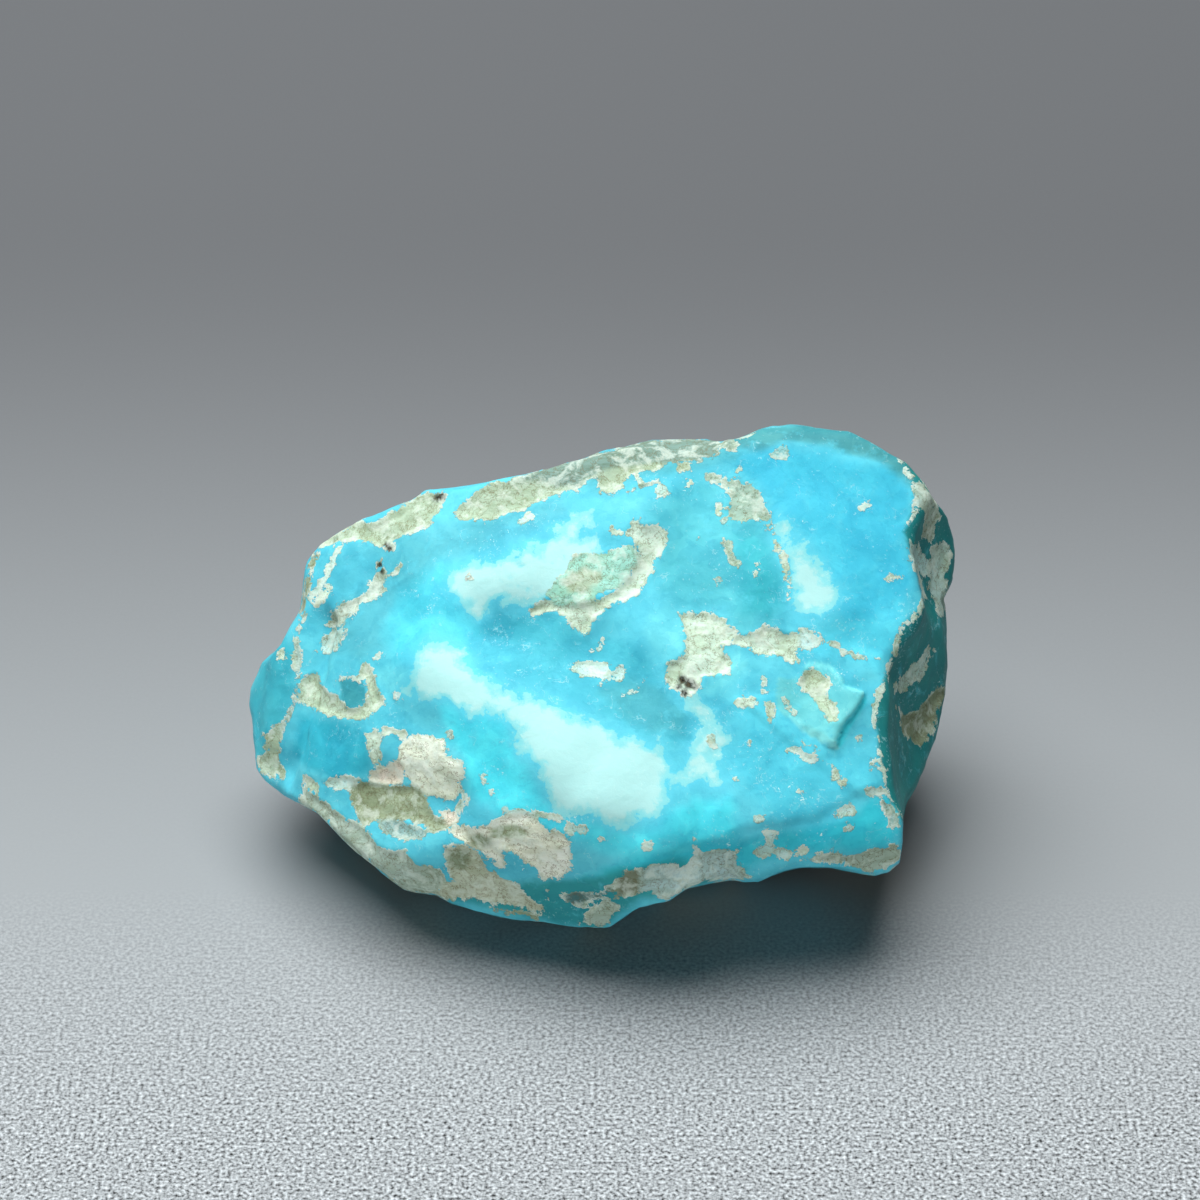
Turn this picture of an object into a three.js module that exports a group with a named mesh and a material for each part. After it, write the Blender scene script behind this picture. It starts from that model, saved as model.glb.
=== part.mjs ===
// A raw turquoise nugget: one rough, unpolished piece of stone lying on its flattest side.
// Millimetres, +Z up, the long side along X, the broken front looking towards -Y.
//
// The stone is worked out around its middle.  Every direction from there runs out to the nearest of
// its broken faces, to its side line or to the resting plane, and folds and swells then move that
// skin in or out.  Points on the front are measured from the middle along three lines of a sight
// that looks down at the stone from the front: right, up, and out towards the eye.

import * as THREE from "three";
import { mergeVertices } from "three/addons/utils/BufferGeometryUtils.js";

// Resting height and sight
const middleHeight = 9.3;
const sightTilt = 38;
const sightDistance = 225;

// Skin
const divisions = 28;
const stretch = new THREE.Vector3(1.7, 1.15, 1.0);
const sideRounding = 0.2;
const faceToSideRounding = 0.3;
const foldRounding = 0.25;
const farthest = 60;

// Colour of the bare stone
const turquoiseColour = 0x4fc3dc;
const turquoiseRoughness = 0.45;

// Side line of the stone as the sight sees it: right, up
const sideLine = [
  [-17.6, -1.5], [-17.5, -0.7], [-16.9, 0.6], [-16.0, 1.5], [-15.5, 2.4], [-15.0, 3.2],
  [-14.9, 4.0], [-14.8, 5.1], [-14.7, 6.1], [-14.1, 6.6], [-13.0, 7.2], [-11.9, 7.8],
  [-9.6, 8.7], [-8.8, 9.3], [-6.7, 9.5], [-3.7, 10.0], [-1.1, 10.9], [1.1, 11.5],
  [2.6, 11.8], [5.5, 11.8], [6.2, 11.6], [6.9, 11.8], [7.9, 12.2], [8.7, 12.5],
  [11.4, 12.5], [12.5, 12.3], [13.8, 11.5], [15.3, 10.6], [16.2, 9.6], [16.8, 8.6],
  [17.4, 7.9], [17.8, 6.8], [17.7, 4.9], [17.2, 3.8], [17.3, 2.6], [17.4, 0.4],
  [17.3, -1.0], [17.0, -2.2], [16.8, -3.2], [16.2, -4.7], [15.8, -5.6], [15.3, -6.5],
  [15.1, -7.3], [15.1, -8.3], [15.0, -9.4], [14.5, -9.9], [13.8, -10.0], [12.6, -9.8],
  [11.4, -9.6], [10.0, -9.6], [9.1, -9.8], [7.9, -10.3], [7.2, -10.3], [6.6, -10.2],
  [5.5, -10.4], [4.3, -10.7], [3.4, -11.3], [2.0, -11.6], [1.1, -12.2], [0.4, -12.6],
  [-1.0, -12.6], [-2.3, -12.4], [-4.3, -12.2], [-6.2, -11.8], [-7.5, -11.4], [-8.2, -11.0],
  [-9.1, -10.9], [-9.8, -10.7], [-11.0, -9.8], [-12.0, -9.0], [-13.0, -8.1], [-14.1, -6.9],
  [-15.0, -6.4], [-15.8, -6.0], [-16.7, -5.3], [-17.2, -4.7], [-17.3, -3.5],
];

// Broken faces: a point on each (right, up, out), the bearing and the slope it looks along,
// its bend (0 flat, minus a bulge of that radius, plus a scoop) and the rounding of its edges.
// Bearing 0 is the front, 90 the right.
const faces = {
  upperFace: { point: [-2.0, 6.8, 6.4], bearing: -8, slope: 61, bend: -90, rounding: 1.2 },
  crownRight: { point: [6.0, 7.8, 6.2], bearing: 6, slope: 60, bend: 0, rounding: 1.5 },
  leftShoulder: { point: [-8.5, 3.2, 5.6], bearing: -38, slope: 52, bend: -90, rounding: 1.5 },
  leftEndTop: { point: [-13.2, 5.2, 2.1], bearing: -66, slope: 50, bend: 0, rounding: 1.5 },
  leftNose: { point: [-14.0, -2.2, 3.4], bearing: -56, slope: 26, bend: 0, rounding: 1.5 },
  middleFace: { point: [1.0, -1.2, 8.9], bearing: -4, slope: 52, bend: -90, rounding: 2.0 },
  lowerLeft: { point: [-7.5, -5.8, 7.6], bearing: -34, slope: 34, bend: -60, rounding: 1.5 },
  middleLip: { point: [0.0, -9.4, 9.6], bearing: -8, slope: 20, bend: 0, rounding: 1.2 },
  lobeFace: { point: [12.5, 6.8, 5.4], bearing: 20, slope: 54, bend: 0, rounding: 1.0 },
  lowerRight: { point: [10.0, -3.2, 8.6], bearing: 16, slope: 46, bend: -90, rounding: 1.5 },
  rightLip: { point: [9.0, -9.4, 8.8], bearing: 12, slope: 8, bend: 0, rounding: 1.0 },
  frontWall: { point: [-2.0, -11.0, 7.4], bearing: -14, slope: -5, bend: 0, rounding: 0.8 },
  crestLeft: { point: [0.0, 12.0, 1.2], bearing: 198, slope: 72, bend: 0, rounding: 0.7 },
  crestRight: { point: [12.0, 13.2, 0.8], bearing: 165, slope: 72, bend: 0, rounding: 0.7 },
  backMiddle: { point: [0.0, 5.8, -9.0], bearing: 183, slope: 14, bend: -60, rounding: 1.0 },
  backLeft: { point: [-8.5, 2.8, -8.2], bearing: 214, slope: 4, bend: 0, rounding: 1.0 },
  backRight: { point: [10.0, 3.8, -8.6], bearing: 157, slope: -2, bend: 0, rounding: 1.0 },
  backTop: { point: [0.0, 11.2, -3.5], bearing: 196, slope: 44, bend: 0, rounding: 1.2 },
  backTopLeft: { point: [-13.0, 9.8, -4.0], bearing: 216, slope: 40, bend: 0, rounding: 1.2 },
  backCornerRight: { point: [15.0, 5.8, -7.2], bearing: 128, slope: 14, bend: 0, rounding: 1.0 },
  backCornerLeft: { point: [-15.0, 2.8, -6.5], bearing: 238, slope: 15, bend: 0, rounding: 1.5 },
  backFoot: { point: [0.0, -4.2, -9.0], bearing: 178, slope: -38, bend: 0, rounding: 1.5 },
  rightEnd: { point: [18.1, 2.8, 0.5], bearing: 88, slope: 0, bend: 0, rounding: 1.0 },
  leftEnd: { point: [-17.9, -1.6, -2.5], bearing: -84, slope: 4, bend: 0, rounding: 1.5 },
  rightBackFoot: { point: [15.0, -6.2, -4.0], bearing: 110, slope: -40, bend: 0, rounding: 1.5 },
  leftBackFoot: { point: [-15.0, -5.8, -4.0], bearing: 250, slope: -40, bend: 0, rounding: 1.5 },
  frontFoot: { point: [2.0, -13.5, 4.5], bearing: 5, slope: -50, bend: 0, rounding: 0.8 },
  rightFrontFoot: { point: [12.0, -11.5, 7.0], bearing: 40, slope: -58, bend: 0, rounding: 0.8 },
  leftFrontFoot: { point: [-10.0, -12.0, 1.0], bearing: -35, slope: -40, bend: 0, rounding: 1.2 },
  rightScoop: { point: [14.8, -2.3, 4.8], bearing: 74, slope: 8, bend: 12, rounding: 0.8 },
  rightNotch: { point: [16.2, 6.6, 2.6], bearing: 66, slope: 8, bend: 7, rounding: 0.8 },
};

// Folds of the front, along points the sight sees (right, up): how far each reaches to either
// side and how high it stands, minus for a hollow
const frontFolds = {
  rightCrease: {
    path: [[5.0, 11.0], [7.2, 9.2], [8.8, 7.0], [9.7, 4.2], [10.7, 1.8], [12.5, 1.1], [14.6, 0.8]],
    reach: 2.2,
    height: -0.35,
  },
  lobeBank: { path: [[10.6, 7.8], [11.5, 5.0], [12.3, 3.0]], reach: 2.0, height: 0.15 },
  middleHollow: {
    path: [[-6.0, 2.2], [-3.0, 1.8], [0.0, 1.0], [3.0, -0.8], [5.5, -3.8]],
    reach: 2.6,
    height: -0.45,
  },
  crownHollow: { path: [[2.5, 2.8], [4.5, 5.2], [5.8, 7.8]], reach: 3.0, height: -0.2 },
  shelfRidge: {
    path: [[-8.8, 0.4], [-6.0, -0.8], [-3.0, -3.0], [0.0, -5.2], [2.5, -6.8]],
    reach: 2.8,
    height: 0.55,
  },
  upperRidge: { path: [[-7.5, 3.8], [-4.0, 5.4], [0.0, 7.0], [2.5, 8.0]], reach: 2.6, height: 0.25 },
  leftCrease: {
    path: [[-14.2, 2.4], [-14.7, 0.2], [-15.0, -1.6], [-15.5, -3.2], [-16.4, -5.0]],
    reach: 1.4,
    height: -0.7,
  },
  leftLobe: { path: [[-16.4, 0.2], [-16.8, -1.6], [-16.6, -3.2]], reach: 1.6, height: 0.4 },
  lipHollow: { path: [[4.5, -9.8], [7.0, -9.6], [9.5, -9.2]], reach: 1.6, height: -0.4 },
  lowerLeftHollow: { path: [[-11.0, -6.0], [-9.5, -6.6], [-8.0, -6.4]], reach: 2.4, height: -0.5 },
};

// Folds of the far sides, along points given by bearing and slope from the middle
const farFolds = {
  backGroove: { path: [[150, 40], [172, 22], [190, -8]], reach: 3.0, height: -0.8 },
  backBulge: { path: [[200, 20], [215, -5]], reach: 4.0, height: 0.6 },
  backPit: { path: [[142, -4], [150, -14]], reach: 3.0, height: -0.9 },
  backLeftGroove: { path: [[228, 34], [236, 8], [240, -14]], reach: 2.2, height: -0.6 },
  backRightBulge: { path: [[128, 30], [136, 10]], reach: 3.0, height: 0.4 },
  crestDent: { path: [[184, 62], [200, 48]], reach: 2.6, height: -0.5 },
  leftUnderGroove: { path: [[265, -30], [300, -40]], reach: 2.4, height: -0.5 },
  frontUnderGroove: { path: [[20, -40], [40, -34]], reach: 3.0, height: -0.6 },
};

const degrees = Math.PI / 180;
const sightRight = new THREE.Vector3(1, 0, 0);
const sightUp = new THREE.Vector3(0, Math.sin(sightTilt * degrees), Math.cos(sightTilt * degrees));
const sightOut = new THREE.Vector3(0, -Math.cos(sightTilt * degrees), Math.sin(sightTilt * degrees));

function lookingAlong(bearing, slope) {
  const level = Math.cos(slope * degrees);
  return new THREE.Vector3(
    Math.sin(bearing * degrees) * level,
    -Math.cos(bearing * degrees) * level,
    Math.sin(slope * degrees),
  );
}

// A point of the sight's own measure, in the stone's frame.  Sight lines draw together a little
// towards the eye, so a nearer point stands closer to the middle line.
function sightPoint(right, up, out) {
  const closer = 1 - out / sightDistance;
  return new THREE.Vector3()
    .addScaledVector(sightRight, right * closer)
    .addScaledVector(sightUp, up * closer)
    .addScaledVector(sightOut, out);
}

// The nearer of two reaches, with the corner between them rounded off
function roundedNearest(a, b, rounding) {
  const overlap = Math.max(rounding - Math.abs(a - b), 0) / rounding;
  return Math.min(a, b) - (overlap * overlap * rounding) / 4;
}

function reachToFace(direction, face) {
  const normal = lookingAlong(face.bearing, face.slope);
  const point = sightPoint(...face.point);
  if (face.bend === 0) {
    const height = point.dot(normal);
    const along = direction.dot(normal);
    return along > height / farthest ? height / along : farthest;
  }
  const ball = point.addScaledVector(normal, face.bend);
  const middle = direction.dot(ball);
  const inside = middle * middle - ball.lengthSq() + face.bend * face.bend;
  if (inside <= 0) {
    return farthest;
  }
  if (face.bend < 0) {
    return middle + Math.sqrt(inside);
  }
  return middle > 0 ? middle - Math.sqrt(inside) : farthest;
}

// How far the side line lies from the middle, as the sight sees it, in one turned direction
function sideLineRadius(turnX, turnY) {
  for (let i = 0; i < sideLine.length; i += 1) {
    const [ax, ay] = sideLine[i];
    const [bx, by] = sideLine[(i + 1) % sideLine.length];
    const pastA = ax * turnY - ay * turnX;
    const pastB = bx * turnY - by * turnX;
    const facing = (ax + bx) * turnX + (ay + by) * turnY > 0;
    if (facing && pastA * pastB <= 0 && pastA !== pastB) {
      return (ax * by - ay * bx) / (turnX * (by - ay) - turnY * (bx - ax));
    }
  }
  return farthest;
}

function reachToSide(direction) {
  const right = direction.dot(sightRight);
  const up = direction.dot(sightUp);
  const across = Math.hypot(right, up);
  if (across < 1e-9) {
    return farthest;
  }
  const closer = direction.dot(sightOut) / sightDistance;
  const perMillimetre = across / sideLineRadius(right / across, up / across) + closer;
  return 1 / Math.max(perMillimetre, 1 / farthest);
}

function reachToFloor(direction) {
  return direction.z < -middleHeight / farthest ? -middleHeight / direction.z : farthest;
}

function reachToFaces(direction) {
  let reach = farthest;
  for (const face of Object.values(faces)) {
    reach = roundedNearest(reach, reachToFace(direction, face), face.rounding);
  }
  return roundedNearest(reach, reachToSide(direction), faceToSideRounding);
}

function unfoldedPoint(direction) {
  const reach = Math.min(reachToFaces(direction), reachToFloor(direction));
  return direction.clone().multiplyScalar(reach);
}

// The point of the skin behind one spot of the sight: step out or in along the sight line until
// the spot lies on the skin
function seenPoint([right, up]) {
  let out = 6;
  for (let step = 0; step < 40; step += 1) {
    const direction = sightPoint(right, up, out).normalize();
    out += 0.6 * (unfoldedPoint(direction).dot(sightOut) - out);
  }
  return unfoldedPoint(sightPoint(right, up, out).normalize());
}

function farPoint([bearing, slope]) {
  return unfoldedPoint(lookingAlong(bearing, slope));
}

const placedFolds = [
  ...Object.values(frontFolds).map((fold) => ({ ...fold, path: fold.path.map(seenPoint) })),
  ...Object.values(farFolds).map((fold) => ({ ...fold, path: fold.path.map(farPoint) })),
];

// Distance from a path, with the inner corners of its bends smoothed
function distanceFromPath(point, path) {
  const stretchOfPath = new THREE.Line3();
  const nearest = new THREE.Vector3();
  let closeness = 1e-30;
  for (let i = 0; i + 1 < path.length; i += 1) {
    stretchOfPath.set(path[i], path[i + 1]).closestPointToPoint(point, true, nearest);
    closeness += Math.exp(-nearest.distanceTo(point) / foldRounding);
  }
  return -foldRounding * Math.log(closeness);
}

function foldHeight(point) {
  let height = 0;
  for (const fold of placedFolds) {
    const share = distanceFromPath(point, fold.path) / fold.reach;
    const near = 1 - Math.min(Math.max(share, 0), 1) ** 2;
    height += fold.height * near * near;
  }
  return height;
}

// Gentle unevenness a few millimetres across, all over the stone
function swellHeight({ x, y, z }) {
  const broad = Math.sin(0.8 * x + 0.3 * y + 0.4 * z + 2.1) * Math.sin(-0.2 * x + 0.7 * y - 0.6 * z + 0.6);
  const middling = Math.sin(0.4 * x - 0.9 * y - 0.7 * z + 1) * Math.sin(1.1 * x + 0.4 * y - 0.5 * z + 4);
  return 0.14 * broad + 0.07 * middling;
}

function stonePoint(direction) {
  const rough = unfoldedPoint(direction);
  const skin = reachToFaces(direction) + foldHeight(rough) + swellHeight(rough);
  const sided = roundedNearest(skin, reachToSide(direction), sideRounding);
  return direction.clone().multiplyScalar(Math.min(sided, reachToFloor(direction)));
}

// One closed skin: a finely divided box whose points are pushed out along their own directions
function turquoiseSkin() {
  const box = new THREE.BoxGeometry(2, 2, 2, divisions, divisions, divisions);
  box.deleteAttribute("uv");
  box.deleteAttribute("normal");
  const skin = mergeVertices(box, 1e-6);
  const positions = skin.getAttribute("position");
  const corner = new THREE.Vector3();
  for (let i = 0; i < positions.count; i += 1) {
    corner.fromBufferAttribute(positions, i);
    const evened = corner.toArray().map((part) => Math.tan((part * Math.PI) / 4));
    const direction = new THREE.Vector3(...evened).multiply(stretch).normalize();
    positions.setXYZ(i, ...stonePoint(direction).toArray());
  }
  return skin;
}

// Rest the stone on z = 0 with the middle of its footprint box at the origin
function setDown(geometry) {
  geometry.computeBoundingBox();
  const middle = geometry.boundingBox.getCenter(new THREE.Vector3());
  geometry.translate(-middle.x, -middle.y, middleHeight);
  geometry.computeVertexNormals();
  geometry.computeBoundingBox();
  return geometry;
}

function turquoise() {
  return new THREE.MeshStandardMaterial({
    name: "turquoise",
    color: turquoiseColour,
    roughness: turquoiseRoughness,
    metalness: 0,
  });
}

const nugget = new THREE.Group();
nugget.name = "turquoise_nugget_part";

const stone = new THREE.Mesh(setDown(turquoiseSkin()), turquoise());
stone.name = "turquoise_nugget";
nugget.add(stone);

export default nugget;
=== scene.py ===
# A raw turquoise nugget on a plain pale floor: the stone's fine skin, its two minerals, soft light.
# The stone is worked out in millimetres around its middle and set down in metres at the end.

import math

import bpy
import numpy as np
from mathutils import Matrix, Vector


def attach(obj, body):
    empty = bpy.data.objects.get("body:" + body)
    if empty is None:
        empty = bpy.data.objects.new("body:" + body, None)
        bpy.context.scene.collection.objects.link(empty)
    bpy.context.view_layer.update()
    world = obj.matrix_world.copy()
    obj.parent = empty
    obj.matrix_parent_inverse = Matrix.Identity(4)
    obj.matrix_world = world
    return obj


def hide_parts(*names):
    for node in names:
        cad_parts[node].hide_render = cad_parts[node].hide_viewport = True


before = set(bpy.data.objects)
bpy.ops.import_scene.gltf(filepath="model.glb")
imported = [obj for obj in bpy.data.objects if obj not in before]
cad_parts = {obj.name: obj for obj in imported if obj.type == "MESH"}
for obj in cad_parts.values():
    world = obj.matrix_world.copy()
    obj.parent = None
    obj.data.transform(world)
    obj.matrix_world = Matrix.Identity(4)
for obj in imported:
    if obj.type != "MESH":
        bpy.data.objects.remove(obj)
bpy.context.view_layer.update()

# How the front is seen: looking down at this tilt from this far away, in degrees and millimetres.
# Front places are (right, up) or (right, up, out) from the stone's middle, out towards the eye.
sight = {"tilt": 38.0, "distance": 225.0, "frameWidth": 60.0, "middleBelowCentre": 3.75}
tilt = math.radians(sight["tilt"])
rightWay = np.array([1.0, 0.0, 0.0])
upWay = np.array([0.0, math.sin(tilt), math.cos(tilt)])
outWay = np.array([0.0, -math.cos(tilt), math.sin(tilt)])
metresPerMillimetre = 0.001

stone = {
    "middleHeight": 9.3,     # above the floor, millimetres
    "stretch": (1.7, 1.15, 1.0),
    "divisions": 128,        # of the skin, along each edge of the box that it starts from
    "solidDivisions": 28,    # of the CAD solid, whose footprint box it is centred on
    "foldRounding": 0.25,
    "faceToSideRounding": 0.3,
    "sideRounding": 0.2,
    "farthest": 60.0,        # reach where a ray meets nothing, millimetres
    "sightStart": 6.0,       # where the walk along a sight line starts, millimetres out
    "sightSteps": 40,
    "sightStepShare": 0.6,   # of what is left, walked at each step
}

# Side line of the stone as the sight sees it: right, up
sideLine = [
    (-17.6, -1.5), (-17.5, -0.7), (-16.9, 0.6), (-16.0, 1.5), (-15.5, 2.4), (-15.0, 3.2),
    (-14.9, 4.0), (-14.8, 5.1), (-14.7, 6.1), (-14.1, 6.6), (-13.0, 7.2), (-11.9, 7.8),
    (-9.6, 8.7), (-8.8, 9.3), (-6.7, 9.5), (-3.7, 10.0), (-1.1, 10.9), (1.1, 11.5),
    (2.6, 11.8), (5.5, 11.8), (6.2, 11.6), (6.9, 11.8), (7.9, 12.2), (8.7, 12.5),
    (11.4, 12.5), (12.5, 12.3), (13.8, 11.5), (15.3, 10.6), (16.2, 9.6), (16.8, 8.6),
    (17.4, 7.9), (17.8, 6.8), (17.7, 4.9), (17.2, 3.8), (17.3, 2.6), (17.4, 0.4),
    (17.3, -1.0), (17.0, -2.2), (16.8, -3.2), (16.2, -4.7), (15.8, -5.6), (15.3, -6.5),
    (15.1, -7.3), (15.1, -8.3), (15.0, -9.4), (14.5, -9.9), (13.8, -10.0), (12.6, -9.8),
    (11.4, -9.6), (10.0, -9.6), (9.1, -9.8), (7.9, -10.3), (7.2, -10.3), (6.6, -10.2),
    (5.5, -10.4), (4.3, -10.7), (3.4, -11.3), (2.0, -11.6), (1.1, -12.2), (0.4, -12.6),
    (-1.0, -12.6), (-2.3, -12.4), (-4.3, -12.2), (-6.2, -11.8), (-7.5, -11.4), (-8.2, -11.0),
    (-9.1, -10.9), (-9.8, -10.7), (-11.0, -9.8), (-12.0, -9.0), (-13.0, -8.1), (-14.1, -6.9),
    (-15.0, -6.4), (-15.8, -6.0), (-16.7, -5.3), (-17.2, -4.7), (-17.3, -3.5),
]

# Broken faces: point (right, up, out), bearing and slope it looks along, its bend (0 flat, minus
# a bulge of that radius, plus a scoop), rounding of its edges.  Bearing 0 is the front, 90 is the
# right.
faces = {
    "upperFace": ((-2.0, 6.8, 6.4), -8, 61, -90, 1.2),
    "crownRight": ((6.0, 7.8, 6.2), 6, 60, 0, 1.5),
    "leftShoulder": ((-8.5, 3.2, 5.6), -38, 52, -90, 1.5),
    "leftEndTop": ((-13.2, 5.2, 2.1), -66, 50, 0, 1.5),
    "leftNose": ((-14.0, -2.2, 3.4), -56, 26, 0, 1.5),
    "middleFace": ((1.0, -1.2, 8.9), -4, 52, -90, 2.0),
    "lowerLeft": ((-7.5, -5.8, 7.6), -34, 34, -60, 1.5),
    "middleLip": ((0.0, -9.4, 9.6), -8, 20, 0, 1.2),
    "lobeFace": ((12.5, 6.8, 5.4), 20, 54, 0, 1.0),
    "lowerRight": ((10.0, -3.2, 8.6), 16, 46, -90, 1.5),
    "rightLip": ((9.0, -9.4, 8.8), 12, 8, 0, 1.0),
    "frontWall": ((-2.0, -11.0, 7.4), -14, -5, 0, 0.8),
    "crestLeft": ((0.0, 12.0, 1.2), 198, 72, 0, 0.7),
    "crestRight": ((12.0, 13.2, 0.8), 165, 72, 0, 0.7),
    "backMiddle": ((0.0, 5.8, -9.0), 183, 14, -60, 1.0),
    "backLeft": ((-8.5, 2.8, -8.2), 214, 4, 0, 1.0),
    "backRight": ((10.0, 3.8, -8.6), 157, -2, 0, 1.0),
    "backTop": ((0.0, 11.2, -3.5), 196, 44, 0, 1.2),
    "backTopLeft": ((-13.0, 9.8, -4.0), 216, 40, 0, 1.2),
    "backCornerRight": ((15.0, 5.8, -7.2), 128, 14, 0, 1.0),
    "backCornerLeft": ((-15.0, 2.8, -6.5), 238, 15, 0, 1.5),
    "backFoot": ((0.0, -4.2, -9.0), 178, -38, 0, 1.5),
    "rightEnd": ((18.1, 2.8, 0.5), 88, 0, 0, 1.0),
    "leftEnd": ((-17.9, -1.6, -2.5), -84, 4, 0, 1.5),
    "rightBackFoot": ((15.0, -6.2, -4.0), 110, -40, 0, 1.5),
    "leftBackFoot": ((-15.0, -5.8, -4.0), 250, -40, 0, 1.5),
    "frontFoot": ((2.0, -13.5, 4.5), 5, -50, 0, 0.8),
    "rightFrontFoot": ((12.0, -11.5, 7.0), 40, -58, 0, 0.8),
    "leftFrontFoot": ((-10.0, -12.0, 1.0), -35, -40, 0, 1.2),
    "rightScoop": ((14.8, -2.3, 4.8), 74, 8, 12, 0.8),
    "rightNotch": ((16.2, 6.6, 2.6), 66, 8, 7, 0.8),
}

# Folds of the front, along points (right, up): reach to either side and height, minus for a hollow
frontFolds = {
    "rightCrease": (
        [(5.0, 11.0), (7.2, 9.2), (8.8, 7.0), (9.7, 4.2),
         (10.7, 1.8), (12.5, 1.1), (14.6, 0.8)], 2.2, -0.35,
    ),
    "lobeBank": ([(10.6, 7.8), (11.5, 5.0), (12.3, 3.0)], 2.0, 0.15),
    "middleHollow": ([(-6.0, 2.2), (-3.0, 1.8), (0.0, 1.0), (3.0, -0.8), (5.5, -3.8)], 2.6, -0.45),
    "crownHollow": ([(2.5, 2.8), (4.5, 5.2), (5.8, 7.8)], 3.0, -0.2),
    "shelfRidge": ([(-8.8, 0.4), (-6.0, -0.8), (-3.0, -3.0), (0.0, -5.2), (2.5, -6.8)], 2.8, 0.55),
    "upperRidge": ([(-7.5, 3.8), (-4.0, 5.4), (0.0, 7.0), (2.5, 8.0)], 2.6, 0.25),
    "leftCrease": (
        [(-14.2, 2.4), (-14.7, 0.2), (-15.0, -1.6), (-15.5, -3.2), (-16.4, -5.0)], 1.4, -0.7,
    ),
    "leftLobe": ([(-16.4, 0.2), (-16.8, -1.6), (-16.6, -3.2)], 1.6, 0.4),
    "lipHollow": ([(4.5, -9.8), (7.0, -9.6), (9.5, -9.2)], 1.6, -0.4),
    "lowerLeftHollow": ([(-11.0, -6.0), (-9.5, -6.6), (-8.0, -6.4)], 2.4, -0.5),
}

# Folds of the far sides, along points given by bearing and slope
farFolds = {
    "backGroove": ([(150, 40), (172, 22), (190, -8)], 3.0, -0.8),
    "backBulge": ([(200, 20), (215, -5)], 4.0, 0.6),
    "backPit": ([(142, -4), (150, -14)], 3.0, -0.9),
    "backLeftGroove": ([(228, 34), (236, 8), (240, -14)], 2.2, -0.6),
    "backRightBulge": ([(128, 30), (136, 10)], 3.0, 0.4),
    "crestDent": ([(184, 62), (200, 48)], 2.6, -0.5),
    "leftUnderGroove": ([(265, -30), (300, -40)], 2.4, -0.5),
    "frontUnderGroove": ([(20, -40), (40, -34)], 3.0, -0.6),
}

# Slow swells: height, then two crossing waves, each by its turns per millimetre and its start
swells = (
    (0.14, (0.8, 0.3, 0.4, 2.1), (-0.2, 0.7, -0.6, 0.6)),
    (0.07, (0.4, -0.9, -0.7, 1.0), (1.1, 0.4, -0.5, 4.0)),
)


def lookingAlong(bearing, slope):
    bearing, slope = math.radians(bearing), math.radians(slope)
    level = math.cos(slope)
    return np.array([math.sin(bearing) * level, -math.cos(bearing) * level, math.sin(slope)])


def sightPoints(right, up, out):
    closer = 1 - out / sight["distance"]    # sight lines draw together towards the eye
    parts = ((right * closer, rightWay), (up * closer, upWay), (out, outWay))
    return sum(np.multiply.outer(part, way) for part, way in parts)


def roundedNearest(a, b, rounding):    # the smaller, eased where the two cross
    overlap = np.maximum(rounding - np.abs(a - b), 0) / rounding
    return np.minimum(a, b) - overlap**2 * rounding / 4


def reachToFace(directions, face):    # how far each direction goes before it meets the face
    point, bearing, slope, bend, rounding = face
    far = stone["farthest"]
    normal = lookingAlong(bearing, slope)
    start = sightPoints(*np.array(point))
    if bend == 0:
        height = start @ normal
        along = directions @ normal
        return np.where(along > height / far, height / np.maximum(along, height / far), far)
    ball = start + normal * bend
    middle = directions @ ball
    inside = middle**2 - ball @ ball + bend**2
    root = np.sqrt(np.maximum(inside, 0))
    if bend < 0:
        return np.where(inside > 0, middle + root, far)
    return np.where((inside > 0) & (middle > 0), middle - root, far)


def reachToSide(directions):    # how far before the side line, seen from the eye, is met
    corners = np.array(sideLine)
    turns = np.arctan2(corners[:, 1], corners[:, 0])
    order = np.argsort(turns)
    corners = np.vstack([corners[order], corners[order[:1]]])
    turns = np.append(turns[order], turns[order[0]] + 2 * math.pi)
    right, up, out = directions @ rightWay, directions @ upWay, directions @ outWay
    turn = np.mod(np.arctan2(up, right) - turns[0], 2 * math.pi) + turns[0]
    i = np.clip(np.searchsorted(turns, turn, side="right") - 1, 0, len(corners) - 2)
    a, edge = corners[i], corners[i + 1] - corners[i]
    radius = (a[:, 0] * edge[:, 1] - a[:, 1] * edge[:, 0]) / (
        np.cos(turn) * edge[:, 1] - np.sin(turn) * edge[:, 0]
    )
    perMillimetre = np.hypot(right, up) / radius + out / sight["distance"]
    return 1 / np.maximum(perMillimetre, 1 / stone["farthest"])


def reachToFloor(directions):
    drop = np.maximum(-directions[:, 2], stone["middleHeight"] / stone["farthest"])
    return stone["middleHeight"] / drop


def reachToFaces(directions):
    reach = np.full(len(directions), stone["farthest"])
    for face in faces.values():
        reach = roundedNearest(reach, reachToFace(directions, face), face[-1])
    return roundedNearest(reach, reachToSide(directions), stone["faceToSideRounding"])


def unfoldedPoints(directions):
    reach = np.minimum(reachToFaces(directions), reachToFloor(directions))
    return directions * reach[:, None]


def unit(vectors):
    return vectors / np.linalg.norm(vectors, axis=1, keepdims=True)


def seenPoints(path):    # step along each sight line until the spot lies on the skin
    right, up = np.array(path, float).T
    out = np.full(len(right), stone["sightStart"])
    for step in range(stone["sightSteps"]):
        directions = unit(sightPoints(right, up, out))
        out += stone["sightStepShare"] * (unfoldedPoints(directions) @ outWay - out)
    return unfoldedPoints(unit(sightPoints(right, up, out)))


def farPoints(path):
    return unfoldedPoints(np.array([lookingAlong(*place) for place in path]))


def edgeDistance(points, a, b):    # to the straight edge from a to b
    edge = b - a
    share = np.clip((points - a) @ edge / (edge @ edge), 0, 1)
    return np.linalg.norm(points - a - share[:, None] * edge, axis=1)


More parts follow.
